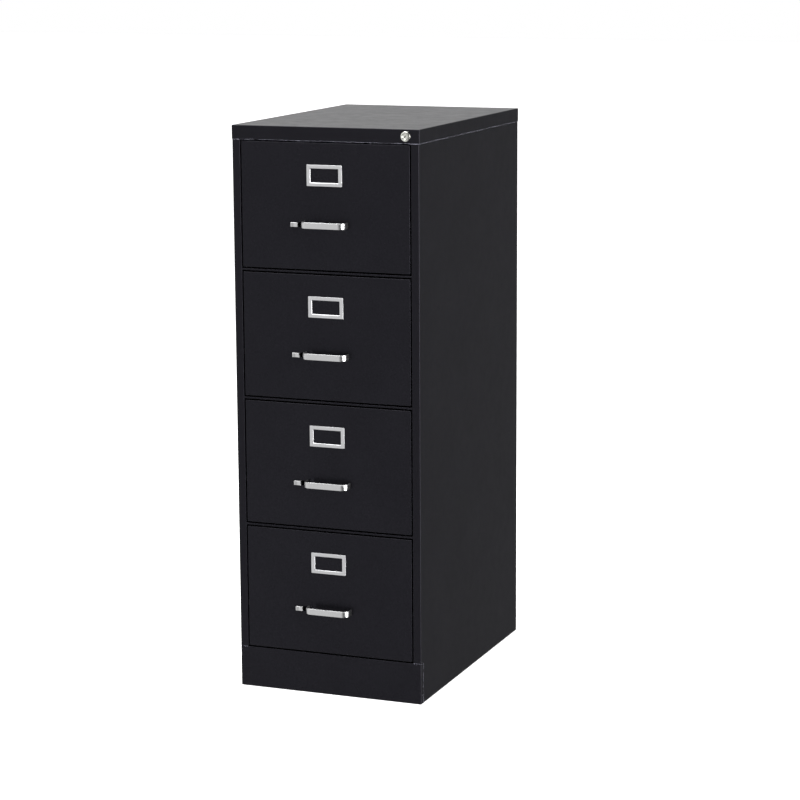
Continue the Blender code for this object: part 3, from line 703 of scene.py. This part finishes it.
def build_skin():
    """Back panel with its rivets, the cap, the kick panel and the base pan."""
    back = block(BACK_LOW, BACK_HIGH)
    show("rear_panel", back, PAINT, "case", ["back_panel"])
    head = moved(rivet(), Matrix.Rotation(-math.pi / 2, 4, "X"))
    heads = []
    lowest = BACK_LOW.z + 0.03
    highest = BACK_HIGH.z - 0.05
    for row in range(RIVET_ROWS):
        height = lowest + (highest - lowest) * row / (RIVET_ROWS - 1)
        for x in (BACK_LOW.x + RIVET_INSET, BACK_HIGH.x - RIVET_INSET):
            heads.append(shifted(head, x, BACK_HIGH.y, height))
    show("rear_panel_rivets", gathered(*heads), PAINT, "case")

    cap = pan(CAP_LOW, CAP_HIGH, ((0, 0, -1),), SHEET)
    cap = without(cap, shifted(lock_hole(), *LOCK_PLACE))
    show("cap_shell", cap, PAINT_WITH_PAINTED_BEND_HIGHLIGHTS, "case", ["top_cap"])
    kick = pan(KICK_LOW, KICK_HIGH, ((0, 1, 0), (0, 0, -1)), SHEET)
    show("kick_board", kick, PAINT, "case", ["kick_panel"])
    base_low, base_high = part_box("base_pan")
    base = pan(base_low, base_high, ((0, 0, 1),), SHEET)
    show("floor_pan", base, INNER_PAINT, "case", ["base_pan"])


def lock_hole():
    """A cutter for the barrel's hole, through whatever stands behind the front plane."""
    bm = bmesh.new()
    bmesh.ops.create_cone(
        bm,
        cap_ends=True,
        segments=LOCK_SEGMENTS,
        radius1=LOCK_HOLE_RADIUS,
        radius2=LOCK_HOLE_RADIUS,
        depth=LOCK_HOLE_DEPTH,
    )
    return facing_front(mesh_of(bm))


def build_rails():
    """The header behind the cap, and the rails between the drawers."""
    low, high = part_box("header_rail")
    corners = ((high.y, high.z), (low.y, high.z), (low.y, low.z), (high.y, low.z))
    header = folded(filleted(corners, BEND_RADIUS), SHEET, low.x, high.x, "X")
    header = without(header, shifted(lock_hole(), *LOCK_PLACE))
    show("header", header, PAINT, "case", ["header_rail"])
    for number in (1, 2, 3):
        low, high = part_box(f"cross_rail_{number}")
        corners = ((high.y, high.z), (low.y, high.z), (low.y, low.z), (high.y, low.z))
        rail = folded(filleted(corners, BEND_RADIUS * 0.8), SHEET, low.x, high.x, "X")
        show(f"rail_{number}", rail, PAINT, "case", [f"cross_rail_{number}"])


def build_posts():
    """Hat-section posts, pierced down their webs as slide carriers are."""
    for end in ("front", "rear"):
        for hand, mirror in (("left", lambda mesh: mesh), ("right", mirrored)):
            node = f"post_{end}_{hand}"
            low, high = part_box(node)
            wall = max(abs(low.x), abs(high.x))
            face = min(abs(low.x), abs(high.x))
            near = low.y + POST_FLANGE
            far = high.y - POST_FLANGE
            corners = (
                (-wall, low.y),
                (-wall, near),
                (-face, near),
                (-face, far),
                (-wall, far),
                (-wall, high.y),
            )
            hat = folded(filleted(corners, BEND_RADIUS), SHEET, low.z, high.z)
            slots = []
            for row in range(1, int((high.z - low.z) / POST_SLOT_PITCH)):
                height = low.z + row * POST_SLOT_PITCH
                middle = (near + far) / 2
                slot_low = (-face - 3 * SHEET, middle - POST_SLOT_HALF, height)
                slot_high = (-face + SHEET, middle + POST_SLOT_HALF, height + POST_SLOT_HEIGHT)
                slots.append(block(slot_low, slot_high, 0))
            show(f"slide_{node}", mirror(without(hat, gathered(*slots))), ZINC, "case", [node])


def build_glides():
    """Levelling glides: a nylon foot, a hexagonal nut and a threaded stud."""
    low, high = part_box("glide_front_left")
    foot_radius = (high.x - low.x) / 2
    top = high.z
    foot = turned(
        (
            (0, 0.0072),
            (0.0060, 0.0072),
            (0.0068, 0.0064),
            (foot_radius - 0.0040, 0.0050),
            (foot_radius - 0.0008, 0.0032),
            (foot_radius, 0.0022),
            (foot_radius, 0.0008),
            (foot_radius - 0.0008, 0),
            (0, 0),
        ),
        48,
    )
    nut_profile = (
        (0, 0.0118),
        (0.0058, 0.0118),
        (0.0064, 0.0112),
        (0.0064, 0.0076),
        (0.0058, 0.0070),
        (0, 0.0070),
    )
    nut = turned(nut_profile, 6)
    thread = [(0, top)]
    turns = 12
    for turn in range(turns):
        height = top - (top - 0.0110) * turn / turns
        thread.append((0.0034, height - 0.00005))
        thread.append((0.0040, height - (top - 0.0110) / turns / 2))
    thread.append((0, 0.0110))
    stud = turned(thread, 24)
    for name in ("front_left", "front_right", "rear_left", "rear_right"):
        low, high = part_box(f"glide_{name}")
        place = ((low.x + high.x) / 2, (low.y + high.y) / 2, 0)
        show(f"foot_{name}", foot, NYLON, "case", [f"glide_{name}"], place)
        show(f"foot_nut_{name}", nut, ZINC, "case", (), place)
        show(f"foot_stud_{name}", stud, ZINC, "case", (), place)


# Slides


def channel(low, high, opens_left, radius):
    """A slide channel along Y that fills a box, open to its left or right."""
    back = high.x if opens_left else low.x
    lip = low.x if opens_left else high.x
    top, bottom = (low.z, high.z) if opens_left else (high.z, low.z)
    corners = ((lip, top), (back, top), (back, bottom), (lip, bottom))
    return folded(filleted(corners, radius), SLIDE_SHEET, low.y, high.y, "Y")


def ball_row(length):
    """A cage strip along Y with its balls, about the origin."""
    half = length / 2
    corner = Vector((CAGE_WIDTH / 2, half, CAGE_THICKNESS / 2))
    strip = block(-corner, corner, CAGE_EDGE, 1)
    bm = bmesh.new()
    bmesh.ops.create_icosphere(bm, subdivisions=2, radius=BALL_RADIUS)
    ball = mesh_of(bm)
    count = int((length - 2 * BALL_RADIUS) / BALL_PITCH)
    balls = [shifted(ball, y=(i - (count - 1) / 2) * BALL_PITCH) for i in range(count)]
    return strip, gathered(*balls)


def build_slides():
    """Case and middle channels of each drawer, with the balls that run between the channels."""
    strip, balls = ball_row(CAGE_LENGTH)
    for number in DRAWERS:
        body = f"drawer_{number}_mid_slides"
        for hand, side, mirror in (("left", -1, lambda mesh: mesh), ("right", 1, mirrored)):
            outer_low, outer_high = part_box(f"drawer_{number}_case_slide_left")
            mid_low, mid_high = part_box(f"drawer_{number}_mid_slide_left")
            node = f"drawer_{number}_case_slide_{hand}"
            outer = mirror(channel(outer_low, outer_high, False, BEND_RADIUS))
            show(f"slide_{number}_outer_{hand}", outer, ZINC, "case", [node])
            node = f"drawer_{number}_mid_slide_{hand}"
            middle = mirror(channel(mid_low, mid_high, False, BEND_RADIUS))
            show(f"slide_{number}_middle_{hand}", middle, ZINC, body, [node])
            centre = (outer_low.z + outer_high.z) / 2
            race = (outer_high.z - SLIDE_SHEET - mid_high.z) / 2
            outer_rise = mid_high.z + race - centre
            inner_rise = mid_high.z - SLIDE_SHEET - race - centre
            rear = mid_high.y - CAGE_MARGIN - CAGE_LENGTH / 2
            front = mid_low.y + CAGE_MARGIN + CAGE_LENGTH / 2
            rows = {
                "outer": (outer_rise, (mid_low.x + mid_high.x) / 2, rear),
                "inner": (inner_rise, mid_high.x - INNER_ROW_INSET, front),
            }
            for row, (rise, x, y) in rows.items():
                for level, sign in (("top", 1), ("bottom", -1)):
                    place = (-side * x, y, centre + sign * rise)
                    label = f"slide_{number}_{row}_{level}_{hand}"
                    show(f"{label}_cage", strip, ZINC, body, (), place)
                    show(f"{label}_balls", balls, BEARING, body, (), place)


# Drawers


def face_mesh():
    """The drawer's face, folded back all round, with the latch's slot and the latch bar's way out."""
    low, high = in_drawer("drawer_1_front")
    face = pan(low, high, ((0, 1, 0),), FRONT_SHEET)
    latch_low, latch_high = in_drawer("drawer_1_latch")
    middle = (latch_low.z + latch_high.z) / 2
    half = (latch_high.z - latch_low.z) / 2 + LATCH_RUN
    left = latch_high.x - LATCH_WIDTH - LATCH_RUN
    right = latch_high.x + LATCH_TRAVEL + LATCH_RUN
    slot = block((left, -FRONT_SHEET, middle - half), (right, 2 * FRONT_SHEET, middle + half), 0)
    bar_half = LATCH_BAR_HEIGHT / 2 + LATCH_RUN
    way_out = block(
        (-FACE_HALF - FRONT_SHEET, LATCH_BAR_DEPTH - LATCH_RUN, middle - bar_half),
        (-FACE_HALF + 2 * FRONT_SHEET, LATCH_BAR_DEPTH + LATCH_BAR_THICKNESS + LATCH_RUN, middle + bar_half),
        0,
    )
    return without(face, slot, way_out)


def handle_mesh():
    """A strap with rounded edges and a slightly crowned front, bent into a U."""
    low, high = in_drawer("drawer_1_handle")
    half_height = (high.z - low.z) / 2
    middle = (high.z + low.z) / 2
    corners = ((low.x, high.y), (low.x, low.y), (high.x, low.y), (high.x, high.y))
    outer = filleted(corners, HANDLE_CORNER, 14)
    profile = strap_section(half_height)
    bm = bmesh.new()
    rings = []
    for depth, height in profile:
        line = offset_path(outer, depth)
        rings.append([bm.verts.new((point.x, point.y, middle + height)) for point in line])
    count = len(outer)
    for first, second in zip(rings, rings[1:] + rings[:1]):
        for i in range(count - 1):
            bm.faces.new((first[i], first[i + 1], second[i + 1], second[i]))
    for i in (0, count - 1):
        bm.faces.new([ring[i] for ring in rings])
    return mesh_of(bm)


def strap_section(half_height):
    """The strap's section as (depth behind its front, height), once round."""
    points = []
    crown_steps = 8
    flat = half_height - HANDLE_ROUND
    for step in range(crown_steps + 1):
        height = flat - 2 * flat * step / crown_steps
        points.append((HANDLE_CROWN * (height / half_height) ** 2, height))
    edge = points[-1][0]
    for step in range(1, 5):
        angle = step / 4 * math.pi / 2
        points.append((edge + HANDLE_ROUND * (1 - math.cos(angle)), -flat - HANDLE_ROUND * math.sin(angle)))
    back = HANDLE_THICKNESS
    for step in range(5):
        angle = step / 4 * math.pi / 2
        points.append((back - HANDLE_ROUND * (1 - math.sin(angle)), -flat - HANDLE_ROUND * math.cos(angle)))
    for step in range(5):
        angle = step / 4 * math.pi / 2
        points.append((back - HANDLE_ROUND * (1 - math.cos(angle)), flat + HANDLE_ROUND * math.sin(angle)))
    for step in range(4):
        angle = step / 4 * math.pi / 2
        points.append((edge + HANDLE_ROUND * (1 - math.sin(angle)), flat + HANDLE_ROUND * math.cos(angle)))
    return points


def label_holder_mesh():
    """A pressed frame: a rolled outer edge, a flat border and a dished inner edge round the window."""
    low, high = in_drawer("drawer_1_label_holder")
    width = high.x - low.x
    height = high.z - low.z
    centre = (high.z + low.z) / 2
    front = low.y
    back = high.y
    outer_edge = (
        (0.0, back),
        (0.0, front + 0.0009),
        (0.0001, front + 0.0004),
        (0.0004, front + 0.0001),
        (0.0009, front),
    )
    inner_edge = (
        (0.0016, front),
        (0.0011, front + 0.0001),
        (0.0006, front + 0.0004),
        (0.0002, front + 0.0008),
        (0.0, front + 0.0010),
        (0.0, back),
    )
    loops = []
    for inset, depth in outer_edge:
        outline = rounded_rectangle(width - 2 * inset, height - 2 * inset, LABEL_CORNER)
        loops.append([(x, depth, centre + z) for x, z in outline])
    for inset, depth in inner_edge:
        border = LABEL_BORDER - Vector((inset, inset))
        outline = rounded_rectangle(width - 2 * border.x, height - 2 * border.y, LABEL_CORNER / 2)
        loops.append([(x, depth, centre + z) for x, z in outline])
    return ring_solid(loops)


def thumb_mesh():
    """The thumb block, scooped across its front."""
    low, high = in_drawer("drawer_1_latch")
    left = high.x - LATCH_WIDTH
    back = LATCH_BAR_DEPTH + LATCH_BAR_THICKNESS - OVERLAP
    bm = bmesh.new()
    bm.from_mesh(block((left, low.y, low.z), (high.x, back, high.z), LATCH_ROUND, 4))
    columns = 10
    for i in range(1, columns):
        x = left + LATCH_ROUND + (LATCH_WIDTH - 2 * LATCH_ROUND) * i / columns
        geom = bm.verts[:] + bm.edges[:] + bm.faces[:]
        bmesh.ops.bisect_plane(bm, geom=geom, plane_co=(x, 0, 0), plane_no=(1, 0, 0))
    flat = LATCH_WIDTH - 2 * LATCH_ROUND
    for vert in bm.verts:
        across = (vert.co.x - left - LATCH_ROUND) / flat
        if vert.co.y < low.y + LATCH_ROUND and 0 < across < 1:
            vert.co.y += LATCH_SCOOP * math.sin(across * math.pi) ** 2
    return mesh_of(bm)


def latch_bar_mesh():
    low, high = in_drawer("drawer_1_latch")
    middle = (high.z + low.z) / 2
    half = LATCH_BAR_HEIGHT / 2
    end = high.x - LATCH_WIDTH / 2
    back = LATCH_BAR_DEPTH + LATCH_BAR_THICKNESS
    return block((low.x, LATCH_BAR_DEPTH, middle - half), (end, back, middle + half))


def trough_mesh():
    """Bottom and sides of the tray in one sheet, each top edge rolled into a rail for hanging files."""
    low, high = in_drawer("drawer_1_tray")
    half = OPENING_HALF - SLIDE_THICKNESS
    top = FACE_HEIGHT - TRAY_HEADROOM
    edge = top - 2 * RIM_RADIUS
    corners = ((-half, edge), (-half, TRAY_LIFT), (half, TRAY_LIFT), (half, edge))
    path = filleted(corners, BEND_RADIUS)
    start = FACE_DEPTH + SEAT + OVERLAP
    trough = folded(path, SHEET, start, high.y, "Y")
    rolled = []
    for sign in (-1, 1):
        rail = turned(((0, high.y), (RIM_RADIUS, high.y), (RIM_RADIUS, start), (0, start)), 20)
        rail = moved(rail, Matrix(((1, 0, 0, 0), (0, 0, 1, 0), (0, -1, 0, 0), (0, 0, 0, 1))))
        rolled.append(shifted(rail, sign * (half - RIM_RADIUS), 0, top - RIM_RADIUS))
    return gathered(trough, *rolled)


def walls_mesh():
    """Front and rear walls of the tray."""
    low, high = in_drawer("drawer_1_tray")
    seat = FACE_DEPTH + SEAT
    front = block((-FACE_HALF, seat, SEAT), (FACE_HALF, seat + SHEET, FACE_HEIGHT - SEAT))
    half = OPENING_HALF - SLIDE_THICKNESS - SHEET / 2
    top = FACE_HEIGHT - TRAY_HEADROOM
    depth = high.y - REAR_WALL_INSET
    corners = (
        (depth + REAR_WALL_LIP, top - OVERLAP),
        (depth - SHEET, top - OVERLAP),
        (depth - SHEET, TRAY_LIFT + OVERLAP),
    )
    rear = folded(filleted(corners, BEND_RADIUS), SHEET, -half, half, "X")
    return front, rear


def runner_mesh():
    """The drawer's own channel of a left-hand slide."""
    mid_low, mid_high = in_drawer("drawer_1_mid_slide_left")
    half = (mid_high.z - mid_low.z) / 2 - SLIDE_SHEET - RUNNER_RACE
    centre = (mid_high.z + mid_low.z) / 2
    low = Vector((mid_low.x + SLIDE_SHEET + RUNNER_GAP, mid_low.y, centre - half))
    high = Vector((-OPENING_HALF + SLIDE_THICKNESS + OVERLAP, mid_high.y, centre + half))
    return channel(low, high, True, BEND_RADIUS)


def lug_mesh():
    """The lug on the tray's right side that the lock bar stands in front of."""
    bar_low, bar_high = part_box("lock_bar")
    front = bar_high.y - FRONT_Y + LUG_BAR_GAP
    inside = OPENING_HALF - SLIDE_THICKNESS - SHEET / 2
    outside = OPENING_HALF - LUG_SIDE_GAP
    low = (inside, front, LUG_RISE)
    high = (outside, front + LUG_DEPTH, LUG_RISE + LUG_HEIGHT)
    return block(low, high, LUG_ROUND, 3)


def screw_mesh():
    """A pan-head screw with a cross recess, its axis Z."""
    profile = [(0, SCREW_HEIGHT)]
    for step in range(1, 8):
        angle = step / 7 * math.pi / 2
        profile.append((SCREW_RADIUS * math.sin(angle), SCREW_HEIGHT * (0.35 + 0.65 * math.cos(angle))))
    profile.append((SCREW_RADIUS, -OVERLAP))
    profile.append((0, -OVERLAP))
    head = turned(profile, 32)
    slot = block((-0.0022, -0.0005, SCREW_HEIGHT - 0.0012), (0.0022, 0.0005, SCREW_HEIGHT + 0.001), 0)
    cross = moved(slot, Matrix.Rotation(math.pi / 2, 4, "Z"))
    return without(head, slot, cross)


def build_drawers():
    """Every drawer's face, tray and hardware."""
    latch_low, latch_high = in_drawer("drawer_1_latch")
    handle_low, handle_high = in_drawer("drawer_1_handle")
    front_wall, rear_wall = walls_mesh()
    runner = runner_mesh()
    screw = moved(screw_mesh(), Matrix.Rotation(-math.pi / 2, 4, "X"))
    screw_depth = FACE_DEPTH + SEAT + SHEET
    screws = [
        shifted(screw, x, screw_depth, (handle_low.z + handle_high.z) / 2)
        for x in (handle_low.x + HANDLE_THICKNESS / 2, handle_high.x - HANDLE_THICKNESS / 2)
    ]
    shapes = (
        ("face", face_mesh(), PAINT, "front"),
        ("pull", handle_mesh(), CHROME, "handle"),
        ("label_frame", label_holder_mesh(), LABEL_METAL, "label_holder"),
        ("trough", trough_mesh(), INNER_PAINT, "tray"),
        ("inner_front", front_wall, INNER_PAINT, "tray"),
        ("rear_wall", rear_wall, INNER_PAINT, "tray"),
        ("runner_left", runner, ZINC, "tray"),
        ("runner_right", mirrored(runner), ZINC, "tray"),
        ("lock_lug", lug_mesh(), ZINC, "tray"),
        ("handle_screws", gathered(*screws), ZINC, None),
    )
    thumb = thumb_mesh()
    bar = latch_bar_mesh()
    for number in DRAWERS:
        body = f"drawer_{number}"
        place = drawer_place(number)
        for name, mesh, material, node in shapes:
            nodes = [f"{body}_{node}"] if node else ()
            show(f"{body}_{name}", mesh, material, body, nodes, place)
        latch_body = f"{body}_thumb_latch"
        show(f"{body}_thumb", thumb, CHROME, latch_body, [f"{body}_latch"], place)
        show(f"{body}_latch_bar", bar, ZINC, latch_body, [f"{body}_latch"], place)


# Lock


def build_lock():
    """A domed bezel round a plug with its keyway, and the mechanism behind it."""
    low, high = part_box("lock_housing")
    proud = FRONT_Y - low.y
    bezel_radius = (high.x - low.x) / 2
    bore = (PLUG_HIGH.x - PLUG_LOW.x) / 2 + SEAT
    barrel = BARREL_RADIUS
    end = FRONT_Y - high.y
    profile = (
        (bore, proud - 0.0007),
        (bore + 0.0002, proud - 0.0003),
        (bore + 0.0005, proud - 0.0001),
        (bore + 0.0010, proud),
        (bezel_radius - 0.0022, proud - 0.0004),
        (bezel_radius - 0.0010, proud - 0.0008),
        (bezel_radius - 0.0003, proud - 0.0012),
        (bezel_radius, proud - 0.0016),
        (bezel_radius, SEAT - 0.0002),
        (barrel, SEAT - 0.0002),
        (barrel, end),
        (bore, end),
    )
    bezel = facing_front(turned(profile, LOCK_SEGMENTS))
    show("lock_bezel", bezel, NICKEL, "case", ["lock_housing"], LOCK_PLACE)

    radius = bore - SEAT
    face = proud - 0.0004
    back = FRONT_Y - PLUG_HIGH.y
    profile = (
        (0, face - 0.0003),
        (radius - 0.0014, face - 0.0003),
        (radius - 0.0011, face),
        (radius - 0.0004, face),
        (radius - 0.0001, face - 0.0001),
        (radius, face - 0.0004),
        (radius, back),
        (0, back),
    )
    plug = facing_front(turned(profile, LOCK_SEGMENTS))
    near = -KEYWAY_CUT.x
    far = KEYWAY_CUT.y
    half_width = KEYWAY_WIDTH / 2
    half_height = KEYWAY_HEIGHT / 2
    keyway = block((-half_width, near, -half_height), (half_width, far, half_height), 0)
    ward = block((-KEYWAY_WIDTH, near, -KEYWAY_HEIGHT * 0.18), (0, far, -KEYWAY_HEIGHT * 0.02), 0)
    tilt = Matrix.Rotation(KEYWAY_TILT, 4, "Y")
    plug = without(plug, moved(keyway, tilt), moved(ward, tilt))
    show("lock_key_plug", plug, NICKEL, "lock", ["lock_plug"], LOCK_PLACE)
    for node in ("lock_cam", "lock_bar", "lock_bar_bracket"):
        refinish(node, ZINC)


# Studio


def build_camera():
    forward = Vector(
        (
            -math.sin(CAMERA_YAW) * math.cos(CAMERA_PITCH),
            math.cos(CAMERA_YAW) * math.cos(CAMERA_PITCH),
            -math.sin(CAMERA_PITCH),
        )
    )
    level = Vector((math.cos(CAMERA_YAW), math.sin(CAMERA_YAW), 0))
    upright = level.cross(forward)
    right = level * math.cos(CAMERA_ROLL) + upright * math.sin(CAMERA_ROLL)
    up = upright * math.cos(CAMERA_ROLL) - level * math.sin(CAMERA_ROLL)
    data = bpy.data.cameras.new("camera")
    data.lens = CAMERA_LENS
    data.sensor_width = SENSOR
    data.clip_end = 200
    camera = bpy.data.objects.new("camera", data)
    turn = Matrix((right, up, -forward)).transposed()
    camera.matrix_world = Matrix.Translation(CAMERA_PLACE) @ turn.to_4x4()
    bpy.context.scene.collection.objects.link(camera)
    bpy.context.scene.camera = camera


def build_floor():
    nodes = Nodes("pale_floor")
    place = nodes.place()
    mottle = nodes.noise(place, 2.0, 4.0)
    nodes.set(
        Base_Color=nodes.blend(nodes.ramp(mottle, 0.0, 1.0), grey(0.90), grey(0.92)),
        Roughness=0.8,
        Specular_IOR_Level=0.0,
        Emission_Color=grey(1.0),
        Emission_Strength=FLOOR_GLOW,
    )
    bm = bmesh.new()
    bmesh.ops.create_grid(bm, x_segments=1, y_segments=1, size=FLOOR_SIZE / 2)
    mesh = mesh_of(bm)
    mesh.materials.append(nodes.material)
    floor = bpy.data.objects.new("floor", mesh)
    floor.visible_glossy = False
    bpy.context.scene.collection.objects.link(floor)


def add_softbox(name, place, target, width, height, power):
    data = bpy.data.lights.new(name, "AREA")
    data.shape = "RECTANGLE"
    data.size = width
    data.size_y = height
    data.energy = power
    light = bpy.data.objects.new(name, data)
    light.location = place
    light.rotation_mode = "QUATERNION"
    light.rotation_quaternion = (Vector(target) - Vector(place)).to_track_quat("-Z", "Y")
    light.visible_camera = False
    bpy.context.scene.collection.objects.link(light)


def build_world():
    """White to the eye, and for light and reflections a room: pale left, dark, then bright far right."""
    world = bpy.data.worlds.new("studio")
    bpy.context.scene.world = world
    world.use_nodes = True
    tree = world.node_tree
    tree.nodes.clear()
    output = tree.nodes.new("ShaderNodeOutputWorld")
    switch = tree.nodes.new("ShaderNodeMixShader")
    seen = tree.nodes.new("ShaderNodeBackground")
    seen.inputs["Color"].default_value = grey(WHITE)
    room = tree.nodes.new("ShaderNodeBackground")
    room.inputs["Strength"].default_value = ROOM_STRENGTH
    path = tree.nodes.new("ShaderNodeLightPath")
    way = tree.nodes.new("ShaderNodeTexCoord")
    split = tree.nodes.new("ShaderNodeSeparateXYZ")
    across = tree.nodes.new("ShaderNodeMapRange")
    across.inputs["From Min"].default_value = -1.0
    across.inputs["From Max"].default_value = 1.0
    walls = tree.nodes.new("ShaderNodeValToRGB")
    walls.color_ramp.interpolation = "EASE"
    stops = walls.color_ramp.elements
    while len(stops) < len(ROOM):
        stops.new(1.0)
    for stop, (position, level) in zip(stops, ROOM):
        stop.position = position
        stop.color = grey(level)
    tree.links.new(way.outputs["Generated"], split.inputs[0])
    tree.links.new(split.outputs["X"], across.inputs["Value"])
    tree.links.new(across.outputs[0], walls.inputs[0])
    tree.links.new(walls.outputs[0], room.inputs["Color"])
    tree.links.new(path.outputs["Is Camera Ray"], switch.inputs[0])
    tree.links.new(room.outputs[0], switch.inputs[1])
    tree.links.new(seen.outputs[0], switch.inputs[2])
    tree.links.new(switch.outputs[0], output.inputs["Surface"])


def build_studio():
    build_camera()
    build_floor()
    build_world()
    middle = (0, 0, 0.7)
    add_softbox("softbox_right", (4.2, -1.9, 1.6), middle, 1.6, 2.6, 115)
    add_softbox("softbox_above", (-0.6, -0.6, 4.6), (0, 0, 0), 3.4, 3.4, 260)
    bpy.context.scene.view_settings.view_transform = "Standard"


build_sides()
build_skin()
build_rails()
build_posts()
build_glides()
build_slides()
build_drawers()
build_lock()
build_studio()
